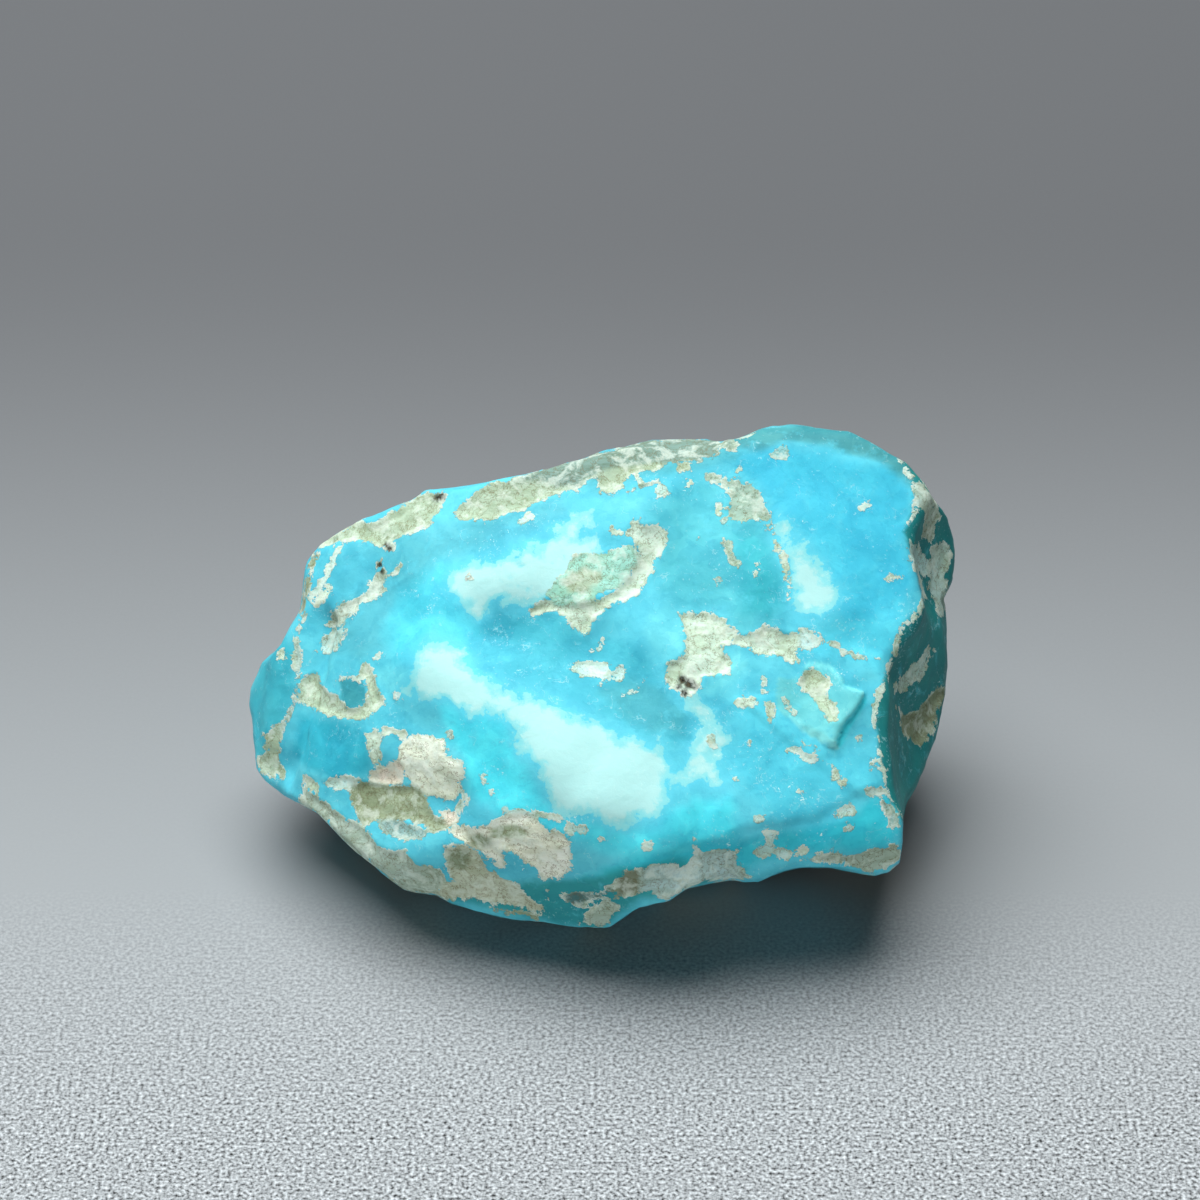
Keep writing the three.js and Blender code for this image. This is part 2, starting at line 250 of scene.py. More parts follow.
def pathDistance(points, path, soft):    # to the path, its bends smoothed over
    closeness = np.full(len(points), 1e-30)    # never nothing, for the logarithm
    for a, b in zip(path[:-1], path[1:]):
        closeness += np.exp(-edgeDistance(points, a, b) / soft)
    return -soft * np.log(closeness)


def foldHeights(points):
    height = np.zeros(len(points))
    for folds, placed in ((frontFolds, seenPoints), (farFolds, farPoints)):
        for path, reach, rise in folds.values():
            share = np.clip(pathDistance(points, placed(path), stone["foldRounding"]) / reach, 0, 1)
            height += rise * (1 - share**2) ** 2
    return height


def swellHeights(points):
    return sum(
        height * np.prod([np.sin(points @ wave[:3] + wave[3]) for wave in waves], axis=0)
        for height, *waves in swells
    )


def stonePoints(directions):
    rough = unfoldedPoints(directions)
    skin = reachToFaces(directions) + foldHeights(rough) + swellHeights(rough)
    skin = roundedNearest(skin, reachToSide(directions), stone["sideRounding"])
    return directions * np.minimum(skin, reachToFloor(directions))[:, None]


def boxSkin(divisions):    # directions and four-sided faces of an evened box, no doubled points
    steps = np.arange(divisions + 1)
    a, b = (part.ravel() for part in np.meshgrid(steps, steps, indexing="ij"))
    low, high = np.zeros_like(a), np.full_like(a, divisions)
    sides = ((high, a, b), (low, b, a), (b, high, a), (a, low, b), (a, b, high), (b, a, low))
    places = np.vstack([np.stack(side, axis=1) for side in sides])
    places, index = np.unique(places, axis=0, return_inverse=True)
    grid = np.arange((divisions + 1) ** 2).reshape(divisions + 1, divisions + 1)
    corners = (grid[:-1, :-1], grid[1:, :-1], grid[1:, 1:], grid[:-1, 1:])
    square = np.stack(corners, axis=-1).reshape(-1, 4)
    quads = np.vstack([square + grid.size * side for side in range(6)])
    evened = np.tan((2 * places / divisions - 1) * math.pi / 4)
    return unit(evened * stone["stretch"]), index.ravel()[quads]


def pointNormals(points, quads):
    a, b, c, d = (points[quads[:, i]] for i in range(4))
    across = np.cross(c - a, d - b)
    normals = np.zeros_like(points)
    for i in range(4):
        np.add.at(normals, quads[:, i], across)
    return unit(normals)


def smoothStep(values, low, high):
    share = np.clip((values - low) / (high - low), 0, 1)
    return share**2 * (3 - 2 * share)


def lumps(points, size, seed):    # seeded soft noise, -1 to 1, its lumps about size mm across
    cells = 32
    lattice = np.random.default_rng(seed).uniform(-1, 1, (cells, cells, cells))
    place = points / size + 0.37 * seed    # the seed also moves the lattice
    cell = np.floor(place).astype(int)
    share = smoothStep(place - cell, 0, 1)
    total = np.zeros(len(points))
    for corner in np.ndindex(2, 2, 2):
        x, y, z = ((cell + corner) % cells).T
        total += lattice[x, y, z] * np.prod(np.where(corner, share, 1 - share), axis=1)
    return total


def lumpSum(points, layers):    # each layer: height, size, seed, and how it is squeezed if it is
    return sum(
        height * lumps(points * (squeeze[0] if squeeze else 1), size, seed)
        for height, size, seed, *squeeze in layers
    )


# Host rock seen on the front, millimetres.  Each patch: its tint, how deep it is sunk, how far it
# frays, its closed outline of (right, up), or an open path where a width comes after it.
rockPatches = {
    "leftTopBand": ("greenTan", 0.12, 0.0, [
        (-14.1, 6.5), (-13.5, 6.9), (-12.8, 7.3), (-12.0, 7.8), (-11.6, 7.6), (-10.8, 7.8),
        (-10.0, 8.2), (-9.8, 8.6), (-9.2, 8.9), (-8.4, 9.1), (-7.7, 9.1), (-7.8, 8.5), (-8.1, 8.0),
        (-8.4, 7.7), (-9.1, 7.2), (-9.9, 7.0), (-10.6, 6.5), (-11.0, 6.3), (-11.4, 6.6),
        (-12.2, 6.8), (-13.0, 6.7), (-13.5, 6.5), (-14.0, 6.2),
    ]),
    "leftStreakUpper": ("greyTan", 0.08, 0.15, [
        (-11.1, 5.2), (-10.8, 5.2), (-10.7, 4.8), (-10.8, 4.2), (-11.4, 3.8), (-12.0, 3.6),
        (-12.4, 3.1), (-12.8, 2.6), (-13.2, 2.4), (-13.7, 2.5), (-13.5, 3.0), (-13.1, 3.5),
        (-12.5, 3.7), (-12.0, 3.9), (-11.6, 4.3), (-11.4, 4.8),
    ]),
    "leftStreakTip": ("greyTan", 0.0, 0, [(-10.8, 4.9), (-10.3, 5.1), (-9.9, 5.5)], 0.12),
    "leftStreakLower": ("white", 0.04, 0.2, [
        (-14.0, 1.8), (-13.6, 2.1), (-13.0, 2.5), (-12.6, 2.2), (-12.8, 1.8), (-13.1, 1.4),
        (-13.6, 1.0), (-14.1, 1.2),
    ]),
    "leftEdgeSmall": ("cream", 0.05, 0.1, [
        (-13.7, 4.5), (-13.4, 4.6), (-13.4, 4.0), (-13.9, 3.7), (-14.3, 3.5), (-14.2, 3.9),
    ]),
    "leftWisp": ("white", 0.0, 0.15, [
        (-13.0, 6.5), (-13.3, 5.8), (-13.6, 5.0), (-14.1, 4.3), (-14.6, 3.8),
    ], 0.22),
    "leftBend": ("bluish", 0.03, 0.1, [
        (-14.8, 3.1), (-15.0, 2.5), (-15.1, 1.8), (-15.1, -0.2), (-15.2, -1.2), (-15.5, -1.9),
        (-15.8, -2.4), (-16.1, -3.0),
    ], 0.2),
    "leftBendTwin": ("cream", 0.0, 0.05, [(-15.2, 1.8), (-15.3, 1.0), (-15.2, 0.5)], 0.12),
    "noseFleck": ("cream", 0.03, 0.0, [
        (-16.1, 1.2), (-15.8, 1.2), (-15.7, 0.9), (-15.9, 0.7), (-16.1, 0.8),
    ]),
    "leftBrownLine": ("brown", 0.05, 0.05, [
        (-15.0, 3.1), (-14.8, 3.8), (-14.5, 5.0), (-14.1, 6.1),
    ], 0.14),
    "leftPitRim": ("tan", 0.1, 0.0, [
        (-15.1, -0.3), (-14.8, -0.1), (-14.4, 0.1), (-14.1, 0.1), (-14.0, -0.4), (-13.6, -0.8),
        (-13.1, -1.0), (-12.9, -1.4), (-12.5, -1.7), (-12.0, -1.6), (-11.7, -1.2), (-11.6, -0.8),
        (-11.7, -0.3), (-12.0, -0.2), (-12.0, 0.1), (-11.7, 0.6), (-11.4, 0.3), (-11.2, -0.4),
        (-11.1, -0.8), (-10.8, -1.4), (-11.4, -1.9), (-11.6, -2.2), (-12.5, -2.2), (-13.1, -2.1),
        (-13.8, -1.9), (-14.4, -1.6), (-14.8, -1.4), (-15.1, -1.4), (-14.9, -0.8),
    ]),
    "leftPitLip": ("white", 0.0, 0, [(-13.0, -0.2), (-12.4, -0.1), (-11.9, -0.2)], 0.14),
    "noseCrust": ("greenTan", 0.06, 0.1, [
        (-17.1, -4.1), (-16.8, -3.9), (-16.6, -3.4), (-16.8, -3.0), (-16.4, -3.0), (-16.2, -2.6),
        (-16.0, -2.5), (-15.9, -3.2), (-16.1, -3.8), (-16.0, -4.2), (-15.8, -4.8), (-15.8, -5.2),
        (-15.9, -5.2), (-16.1, -4.8), (-16.4, -5.0), (-16.9, -4.8), (-17.1, -4.5),
    ]),
    "upperBand": ("greenTan", 0.12, 0.0, [
        (-7.3, 8.3), (-7.0, 8.5), (-6.6, 8.8), (-6.1, 9.2), (-5.6, 9.4), (-4.8, 9.6), (-4.0, 9.8),
        (-3.4, 9.9), (-2.6, 10.1), (-2.0, 10.2), (-1.2, 10.2), (-0.8, 9.8), (-1.1, 9.6),
        (-1.6, 9.3), (-2.2, 9.1), (-2.8, 8.8), (-3.6, 8.4), (-4.5, 8.1), (-5.5, 7.8), (-6.8, 7.7),
        (-7.2, 7.9),
    ]),
    # Painted shade: the crest's patches take a darker copy of the tan
    "crestBand": ("crestTan", 0.06, 0.45, [
        (-4.5, 9.8), (-3.0, 10.3), (-1.2, 11.0), (0.0, 11.2), (2.0, 11.7), (4.0, 11.8), (5.8, 11.8),
        (5.8, 11.2), (4.5, 10.8), (3.0, 10.4), (2.0, 10.3), (0.5, 10.2), (-0.5, 9.8), (-1.2, 9.4),
    ]),
    "upperBandRight": ("greenTan", 0.08, 0.1, [
        (0.0, 10.2), (0.8, 10.4), (1.8, 10.5), (2.8, 10.7), (3.4, 10.6), (2.8, 10.2), (2.0, 10.2),
        (1.4, 9.8), (1.1, 9.3), (0.5, 9.2), (0.0, 9.2), (-0.1, 9.7),
    ]),
    # Painted shade: darker crest tan
    "crestPatch": ("crestTan", 0.08, 0.1, [
        (2.8, 11.3), (3.6, 11.6), (4.5, 11.8), (5.9, 11.7), (6.0, 11.3), (5.8, 10.9), (5.0, 10.8),
        (4.5, 10.7), (3.8, 11.0),
    ]),
    "crestChip": ("greenTan", 0.05, 0.05, [(3.8, 10.6), (4.5, 10.8), (4.5, 10.2), (3.9, 10.2)]),
    # Painted shade: darker crest tan
    "crestFleck": ("crestTan", 0.05, 0.1, [
        (6.1, 11.5), (6.5, 11.7), (6.8, 11.6), (6.8, 11.2), (6.3, 11.2),
    ]),
    "crestEdge": ("white", 0.0, 0.05, [(6.1, 11.7), (7.2, 11.9), (7.7, 12.2)], 0.12),
    "upperCrack": ("darkTeal", 0.06, 0.0, [(1.3, 9.1), (2.0, 9.4), (2.8, 9.7)], 0.08),
    "middleHook": ("cream", 0.12, 0.0, [
        (1.6, 7.8), (2.0, 7.8), (2.0, 7.5), (2.8, 7.5), (3.2, 7.2), (3.5, 6.8), (3.1, 6.1),
        (2.8, 5.8), (2.5, 5.0), (2.0, 4.2), (1.4, 3.7), (0.5, 3.6), (0.1, 3.1), (-0.3, 2.9),
        (-0.5, 2.4), (-0.8, 2.0), (-1.3, 2.4), (-1.7, 3.0), (-2.2, 3.2), (-3.0, 3.1), (-3.4, 3.0),
        (-3.5, 3.3), (-3.0, 3.6), (-2.4, 3.9), (-1.8, 3.6), (-1.0, 3.5), (0.0, 3.9), (0.8, 4.2),
        (1.4, 4.8), (1.8, 5.5), (1.9, 6.2), (1.7, 6.8), (1.2, 7.0), (0.6, 6.9), (0.5, 7.5),
        (0.9, 7.2), (1.5, 7.2),
    ]),
    "hookHaze": ("hazeGreen", 0.0, 0.45, [
        (-2.8, 3.9), (-2.2, 5.0), (-1.0, 5.8), (0.0, 6.1), (1.1, 6.5), (1.7, 6.6), (1.9, 5.8),
        (1.6, 5.0), (0.9, 4.3), (0.0, 3.9), (-1.2, 3.7), (-2.0, 3.6),
    ]),
    "hookGreenSpeck": ("greenTan", 0.03, 0.5, [
        (-2.0, 4.8), (-1.2, 5.2), (-0.5, 5.3), (0.0, 5.0), (-0.2, 4.3), (-1.0, 4.0), (-1.7, 4.2),
    ]),
    # Painted shade: the crown's patches take a darker copy of the cream
    "crownPatch": ("crownCream", 0.12, 0.0, [
        (5.2, 9.8), (5.3, 10.1), (5.6, 10.1), (6.0, 9.8), (6.6, 9.7), (7.2, 9.6), (7.6, 9.6),
        (7.8, 9.3), (8.1, 8.9), (8.2, 8.5), (8.4, 8.2), (8.6, 7.8), (8.7, 7.2), (8.4, 7.3),
        (8.2, 7.7), (7.9, 7.8), (7.5, 7.8), (7.2, 7.6), (6.9, 7.7), (6.7, 7.8), (6.5, 8.2),
        (6.5, 8.8), (6.6, 9.2), (6.1, 9.5), (5.5, 9.7),
    ]),
    "lobeCrease": ("cream", 0.0, 0.1, [
        (8.6, 8.0), (8.7, 7.0), (8.8, 6.5), (9.2, 5.8), (9.4, 5.0), (9.5, 3.8),
    ], 0.12),
    "crownBead": ("tan", 0.06, 0.0, [(5.8, 8.5), (6.0, 8.6), (6.2, 8.2), (6.1, 8.0), (5.8, 8.0)]),
    # Painted shade: darker crown cream
    "crownDrop": ("crownCream", 0.08, 0.05, [
        (6.1, 6.7), (6.5, 6.7), (6.7, 6.2), (6.9, 6.0), (7.1, 5.7), (6.9, 5.4), (6.7, 5.4),
        (6.3, 5.7), (6.3, 6.2),
    ]),
    "crownStreak": ("white", 0.05, 0, [(7.8, 5.5), (7.8, 4.8)], 0.12),
    "lobeStreak": ("white", 0.0, 0.05, [(14.3, 4.8), (14.5, 5.0), (15.2, 4.9)], 0.12),
    "lobeTopFacet": ("paleTeal", 0.0, 0.0, [(8.5, 11.0), (9.3, 11.7), (9.5, 10.8), (8.8, 10.8)]),
    "bigMiddle": ("cream", 0.12, 0.0, [
        (4.0, 3.0), (4.2, 3.1), (4.5, 3.0), (5.0, 3.1), (5.6, 3.0), (6.1, 2.8), (6.3, 2.5),
        (6.8, 2.2), (6.8, 1.9), (6.5, 1.6), (6.1, 1.5), (6.2, 1.1), (6.5, 0.8), (6.6, 0.5),
        (6.4, 0.1), (5.8, 0.0), (5.2, -0.1), (5.0, -0.6), (4.9, -0.8), (4.5, -1.0), (4.1, -1.0),
        (3.8, -0.8), (3.5, -0.5), (3.4, -0.1), (3.2, 0.3), (3.4, 0.7), (3.8, 0.8), (4.1, 1.0),
        (4.2, 1.5), (4.2, 2.0), (4.2, 2.4),
    ]),
    "bigMiddleFoot": ("cream", 0.14, 0.1, [
        (3.4, 0.6), (3.8, 0.7), (4.2, 0.6), (4.2, 0.1), (4.0, -0.3), (3.6, -0.4), (3.4, 0.1),
    ]),
    "bigMiddleEdge": ("tan", 0.14, 0.1, [
        (5.8, 0.9), (6.2, 1.1), (6.3, 0.7), (6.3, 0.3), (5.9, 0.2), (5.7, 0.6),
    ]),
    "creaseBand": ("cream", 0.1, 0.0, [
        (6.5, 1.6), (6.8, 2.0), (7.4, 2.0), (7.8, 2.1), (8.2, 2.4), (8.8, 2.3), (9.2, 2.1),
        (9.8, 2.1), (9.9, 1.9), (9.8, 1.4), (9.8, 1.0), (9.9, 0.7), (9.5, 0.6), (9.2, 0.8),
        (9.0, 1.1), (8.4, 0.9), (7.8, 1.1), (7.5, 1.3), (7.1, 1.4), (6.8, 1.5),
    ]),
    "creaseEnd": ("white", 0.06, 0.05, [
        (10.0, 2.1), (10.3, 2.4), (10.6, 2.1), (10.8, 1.9), (11.0, 1.5), (10.8, 1.4), (10.3, 1.2),
        (9.9, 1.4),
    ]),
    "rightCrack": ("white", 0.05, 0.04, [
        (10.8, 1.9), (11.5, 1.6), (12.1, 1.2), (13.0, 0.9), (14.0, 0.8),
    ], 0.12),
    "middleFlecks": ("white", 0.03, 0.5, [
        (-1.5, 0.1), (-1.1, 0.6), (-0.5, 0.8), (0.1, 0.7), (0.6, 0.4), (1.1, 0.5), (1.2, 0.1),
        (1.1, -0.2), (0.5, -0.3), (0.1, -0.3), (-0.4, -0.1), (-1.0, -0.1),
    ]),
    "middleFleckTop": ("white", 0.03, 0.1, [
        (-0.4, 1.1), (-0.1, 1.5), (0.1, 1.8), (0.2, 1.4), (0.0, 1.1),
    ]),
    "middleFleckLine": ("white", 0.0, 0.08, [(1.1, -1.1), (1.8, -0.8), (2.2, -0.3)], 0.14),
    "flakePit": ("tan", 0.18, 0.0, [
        (10.0, -0.3), (10.2, 0.0), (10.3, 0.2), (10.6, 0.3), (10.9, 0.1), (11.1, -0.1),
        (11.4, -0.2), (11.5, -0.7), (11.3, -0.9), (11.5, -1.2), (11.8, -1.5), (11.8, -2.0),
        (11.7, -2.4), (11.4, -2.4), (11.1, -2.0), (10.8, -1.6), (10.6, -1.2), (10.4, -0.8),
        (10.2, -0.7),
    ]),
    "flakeSideSpot": ("cream", 0.04, 0.05, [
        (6.8, -1.4), (7.1, -1.1), (7.6, -1.1), (7.8, -1.4), (7.6, -1.6), (7.0, -1.6),
    ]),
    "flakeSideStreak": ("white", 0.0, 0.05, [(8.2, -0.1), (8.2, -0.8)], 0.2),
    "flakeLeftEdge": ("white", 0.0, 0.05, [(9.2, -1.2), (9.4, -1.6), (9.7, -1.9)], 0.16),
    "flakeTan": ("tan", 0.05, 0.0, [
        (8.3, -1.4), (8.5, -1.2), (8.7, -1.9), (8.6, -2.4), (8.4, -2.4), (8.2, -2.0),
    ]),
    "lowerMiddleFleck": ("white", 0.0, 0.05, [(7.2, -3.5), (7.5, -3.3), (7.5, -3.6), (7.2, -3.6)]),
    "rightChain": ("white", 0.05, 0.05, [
        (9.4, -3.5), (10.0, -3.5), (10.2, -3.8), (10.5, -4.0), (10.9, -4.3), (10.6, -4.5),
        (10.2, -4.2), (9.9, -3.9), (9.4, -3.8),
    ]),
    "rightChainRing": ("white", 0.0, 0.05, [
        (10.2, -3.5), (10.8, -3.6), (11.1, -4.0), (11.0, -4.3),
    ], 0.12),
    "rightChainLower": ("cream", 0.05, 0.05, [
        (11.5, -4.5), (11.8, -4.8), (12.0, -5.2), (12.3, -5.3), (12.1, -5.6), (11.8, -5.4),
        (11.5, -5.2), (11.6, -5.0),
    ]),
    "rightStreak": ("white", 0.0, 0.05, [(13.4, -4.7), (13.6, -4.4), (13.8, -4.2)], 0.14),
    "lipRing": ("white", 0.0, 0.05, [
        (7.6, -7.2), (7.8, -7.0), (8.2, -7.1), (8.2, -7.3), (7.8, -7.4),
    ]),
    "lipWhiteLeft": ("white", 0.04, 0.05, [
        (8.2, -7.9), (8.5, -7.7), (8.8, -7.9), (8.8, -8.3), (8.7, -8.8), (8.3, -9.0), (7.9, -9.0),
        (7.8, -8.8), (8.0, -8.6), (8.4, -8.4), (8.4, -8.2),
    ]),
    "lipWhiteMiddle": ("white", 0.04, 0.05, [
        (8.6, -8.8), (9.1, -8.7), (9.5, -8.8), (9.5, -9.2), (9.2, -9.2), (8.8, -9.1),
    ]),
    "lipWhiteRight": ("cream", 0.04, 0.05, [
        (9.9, -8.8), (10.2, -8.6), (10.4, -8.8), (10.2, -9.2), (9.9, -9.2),
    ]),
    "nubWhite": ("bluish", 0.06, 0.08, [
        (14.0, -6.2), (14.4, -6.4), (14.7, -6.8), (14.9, -7.2), (14.9, -7.5), (14.5, -7.7),
        (14.2, -7.5), (14.3, -7.0), (14.1, -6.7),
    ]),
    "nubTop": ("white", 0.04, 0.06, [
        (13.1, -5.8), (13.5, -5.7), (14.0, -5.7), (14.2, -5.9), (13.8, -6.0), (13.4, -6.0),
    ]),
    "nubLeft": ("white", 0.04, 0.06, [
        (11.9, -6.8), (12.1, -6.5), (12.5, -6.5), (12.8, -6.7), (12.6, -7.0), (12.2, -7.0),
        (12.0, -7.2), (11.7, -7.3),
    ]),
    "nubLow": ("white", 0.04, 0.06, [
        (12.2, -7.4), (12.5, -7.3), (12.7, -7.8), (12.5, -8.1), (12.2, -7.8),
    ]),
    "underLip": ("greyTan", 0.08, 0.2, [
        (10.6, -9.2), (11.0, -9.0), (12.2, -8.9), (13.2, -8.8), (14.0, -8.6), (14.7, -8.5),
        (14.9, -8.8), (14.9, -9.2), (14.5, -9.7), (13.9, -9.9), (13.4, -9.8), (12.5, -9.6),
        (11.8, -9.3), (11.1, -9.3),
    ]),
    "leftRimStrip": ("cream", 0.08, 0.05, [
        (-11.7, -3.0), (-11.3, -2.8), (-10.9, -2.9), (-11.0, -3.5), (-11.1, -4.5), (-11.2, -4.8),
        (-11.4, -4.3), (-11.5, -3.8),
    ]),
    "crustTopRim": ("cream", 0.03, 0.03, [
        (-10.9, -3.0), (-10.7, -2.6), (-9.8, -2.8), (-9.6, -3.1), (-9.8, -3.4), (-10.1, -3.0),
        (-10.6, -3.0), (-10.8, -3.2),
    ]),
    "crust": ("paleGreen", -0.05, 0.0, [
        (-10.0, -3.5), (-9.6, -3.1), (-9.0, -2.9), (-8.2, -3.1), (-7.7, -3.2), (-7.7, -4.1),
        (-7.2, -4.3), (-6.9, -4.4), (-6.9, -5.8), (-7.2, -6.2), (-7.8, -6.2), (-8.5, -6.0),
        (-9.0, -5.8), (-9.6, -5.2), (-9.9, -4.8), (-10.1, -4.2),
    ]),
    "crustTail": ("white", 0.03, 0.03, [(-6.9, -5.8), (-6.7, -6.1), (-7.1, -6.8)], 0.18),
    "pinkHollow": ("pinkTan", 0.15, 0.0, [
        (-11.5, -4.8), (-11.1, -4.7), (-10.6, -4.6), (-10.2, -4.2), (-9.9, -4.5), (-9.8, -5.0),
        (-9.9, -5.4), (-10.5, -5.5), (-11.1, -5.4), (-11.5, -5.2),
    ]),
    "oliveRecess": ("olive", 0.09, 0.08, [
        (-12.5, -5.5), (-11.9, -5.3), (-11.1, -5.4), (-10.4, -5.6), (-9.9, -5.4), (-9.4, -5.5),
        (-9.0, -5.8), (-8.7, -6.2), (-8.4, -6.8), (-8.0, -7.2), (-7.2, -7.3), (-7.5, -7.7),
        (-8.1, -7.8), (-9.0, -7.5), (-9.8, -7.3), (-10.5, -7.2), (-11.4, -7.3), (-11.9, -7.5),
        (-12.2, -6.8), (-12.4, -6.2),
    ]),
    "recessRim": ("bluish", 0.05, 0.05, [
        (-11.1, -7.3), (-10.4, -7.2), (-9.8, -7.3), (-9.0, -7.5), (-8.6, -7.8), (-8.8, -8.2),
        (-9.5, -8.2), (-10.2, -8.1), (-10.8, -7.9),
    ]),
    "pinkBead": ("pinkTan", 0.08, 0.04, [(-8.0, -6.8), (-7.2, -6.8), (-7.1, -7.3), (-7.6, -7.5)]),
    "leftShelf": ("white", 0.05, 0.08, [
        (-13.8, -5.3), (-13.4, -5.2), (-12.8, -5.0), (-12.1, -5.2), (-11.8, -5.0), (-11.9, -5.2),
        (-12.5, -5.6), (-13.1, -5.7), (-13.6, -5.6),
    ]),
    "leftShelfTan": ("tan", 0.05, 0.08, [
        (-14.8, -5.0), (-14.4, -5.2), (-14.1, -5.5), (-14.1, -5.8), (-14.4, -5.8), (-14.7, -5.5),
    ]),
    "edgeBand": ("greyTan", 0.1, 0.22, [
        (-14.9, -5.5), (-14.5, -6.0), (-14.0, -6.2), (-13.6, -6.4), (-13.2, -6.8), (-12.8, -7.2),
        (-12.2, -7.5), (-11.8, -7.8), (-11.2, -8.2), (-10.9, -8.7), (-10.4, -8.8), (-9.8, -8.8),
        (-9.4, -9.2), (-9.0, -9.5), (-8.5, -9.7), (-8.0, -9.8), (-7.7, -10.2), (-8.0, -11.1),
        (-9.1, -10.9), (-10.0, -10.7), (-10.9, -9.8), (-12.1, -9.0), (-13.0, -8.1), (-14.0, -6.8),
        (-15.0, -6.4),
    ]),
    # Painted light: a lighter grey for the low front face
    "lowTan": ("lowGrey", 0.12, 0.12, [
        (-7.8, -8.5), (-7.5, -8.6), (-6.9, -8.4), (-6.2, -8.7), (-5.9, -9.2), (-5.5, -9.7),
        (-4.8, -10.2), (-4.0, -10.7), (-3.4, -11.2), (-2.9, -11.5), (-2.8, -11.8), (-3.2, -11.8),
        (-3.8, -11.5), (-4.2, -11.5), (-5.0, -11.4), (-6.1, -11.2), (-6.9, -11.2), (-7.8, -11.2),
        (-8.2, -10.9), (-8.0, -10.5), (-7.5, -10.2),
    ]),
    "lowBrown": ("brown", 0.15, 0.1, [
        (-7.7, -8.8), (-7.2, -8.7), (-6.6, -8.8), (-6.5, -9.3), (-6.7, -9.8), (-7.2, -9.8),
        (-7.6, -9.4),
    ]),
    "lowOlive": ("olive", 0.08, 0.08, [
        (-5.5, -11.6), (-4.8, -11.7), (-3.9, -11.8), (-3.0, -12.0), (-3.1, -12.2), (-4.2, -11.9),
        (-5.4, -11.8),
    ]),
    # Painted light: a near-white cream for the low corner
    "cornerPatch": ("lowCream", 0.1, 0.0, [
        (-7.5, -7.8), (-7.1, -7.5), (-6.5, -7.6), (-5.6, -7.5), (-5.2, -7.2), (-4.6, -7.0),
        (-4.0, -6.8), (-3.2, -7.2), (-2.8, -7.5), (-2.4, -7.8), (-2.0, -7.9), (-1.6, -8.2),
        (-1.4, -8.4), (-1.5, -8.8), (-1.4, -9.2), (-1.5, -9.7), (-1.9, -10.1), (-2.2, -10.2),
        (-2.8, -10.2), (-3.2, -9.8), (-3.5, -9.5), (-3.9, -9.2), (-4.2, -8.8), (-4.6, -8.8),
        (-4.8, -8.6), (-5.0, -8.8), (-4.8, -9.2), (-4.8, -9.6), (-5.0, -9.7), (-5.4, -9.3),
        (-5.9, -9.0), (-6.1, -8.8), (-6.5, -8.7), (-6.9, -8.3), (-7.2, -8.2),
    ]),
    "cornerOlive": ("olive", 0.14, 0.06, [
        (-5.5, -7.7), (-5.0, -7.5), (-4.2, -7.5), (-3.8, -7.7), (-3.6, -8.0), (-4.0, -8.2),
        (-4.6, -8.2), (-5.1, -8.2), (-5.5, -8.2),
    ]),
    # Painted light: a near-white cream for the low corner
    "cornerScallop": ("lowCream", 0.12, 0.06, [
        (-5.0, -8.5), (-4.2, -8.3), (-3.5, -8.4), (-2.8, -8.7), (-2.2, -9.1), (-2.0, -9.6),
        (-2.2, -9.9), (-2.8, -9.9), (-3.2, -9.7), (-3.5, -9.2), (-3.9, -9.0), (-4.4, -8.8),
    ]),
    "cornerDark": ("brown", 0.12, 0.08, [
        (-6.7, -8.1), (-6.1, -7.9), (-5.5, -8.2), (-5.4, -8.6), (-6.0, -8.8), (-6.5, -8.6),
    ]),
    "cornerCrack": ("white", 0.0, 0.05, [
        (-4.8, -6.8), (-4.0, -6.8), (-3.2, -7.0), (-2.0, -7.2),
    ], 0.14),
    "frontBrown": ("darkBrown", 0.1, 0.08, [
        (0.8, -10.2), (1.2, -9.8), (2.0, -9.7), (2.1, -10.2), (2.0, -10.9), (1.2, -11.0),
        (0.7, -11.2), (0.8, -10.7),
    ]),
    "frontLavender": ("lavender", 0.06, 0.1, [
        (2.0, -9.7), (3.0, -9.4), (4.0, -9.6), (4.6, -9.2), (4.8, -8.5), (5.0, -8.8), (5.5, -8.8),
        (6.1, -8.6), (6.8, -8.8), (6.9, -9.2), (7.2, -9.7), (7.5, -10.1), (7.0, -10.2),
        (6.2, -10.2), (5.2, -10.2), (4.5, -10.5), (4.0, -10.8), (3.4, -11.2), (2.5, -10.9),
        (2.0, -10.9),
    ]),
    "frontTip": ("white", 0.03, 0.0, [
        (4.5, -8.4), (4.6, -8.2), (4.8, -8.2), (4.9, -8.5), (4.6, -8.7),
    ]),
    "frontGrey": ("greyTan", 0.06, 0.12, [
        (-0.1, -11.5), (0.2, -11.2), (0.6, -11.2), (0.9, -11.5), (0.7, -12.0), (0.4, -12.5),
        (-0.5, -12.5), (-1.0, -12.3), (-0.6, -12.0),
    ]),
    # Painted shade: a darker teal grey low on the front wall
    "frontStreaks": ("tealGrey", 0.02, 0.4, [
        (-2.8, -10.5), (-2.0, -10.8), (-1.0, -10.9), (0.0, -10.9), (0.5, -10.5), (0.6, -10.9),
        (-0.1, -11.2), (-1.2, -11.4), (-2.5, -11.1),
    ]),
    "wallGreyLeft": ("white", 0.1, 0.08, [
        (15.5, 6.8), (15.8, 6.5), (16.2, 6.0), (16.5, 5.7), (16.4, 5.0), (16.0, 5.0), (15.7, 5.7),
        (15.4, 6.2),
    ]),
    "wallGreyTop": ("wallGrey", 0.1, 0.1, [
        (16.5, 6.3), (17.1, 6.7), (17.5, 6.2), (17.4, 5.8), (17.2, 4.8), (17.0, 4.5), (16.6, 4.8),
        (16.5, 5.5),
    ]),
    "wallGreyMiddle": ("wallGrey", 0.08, 0.12, [
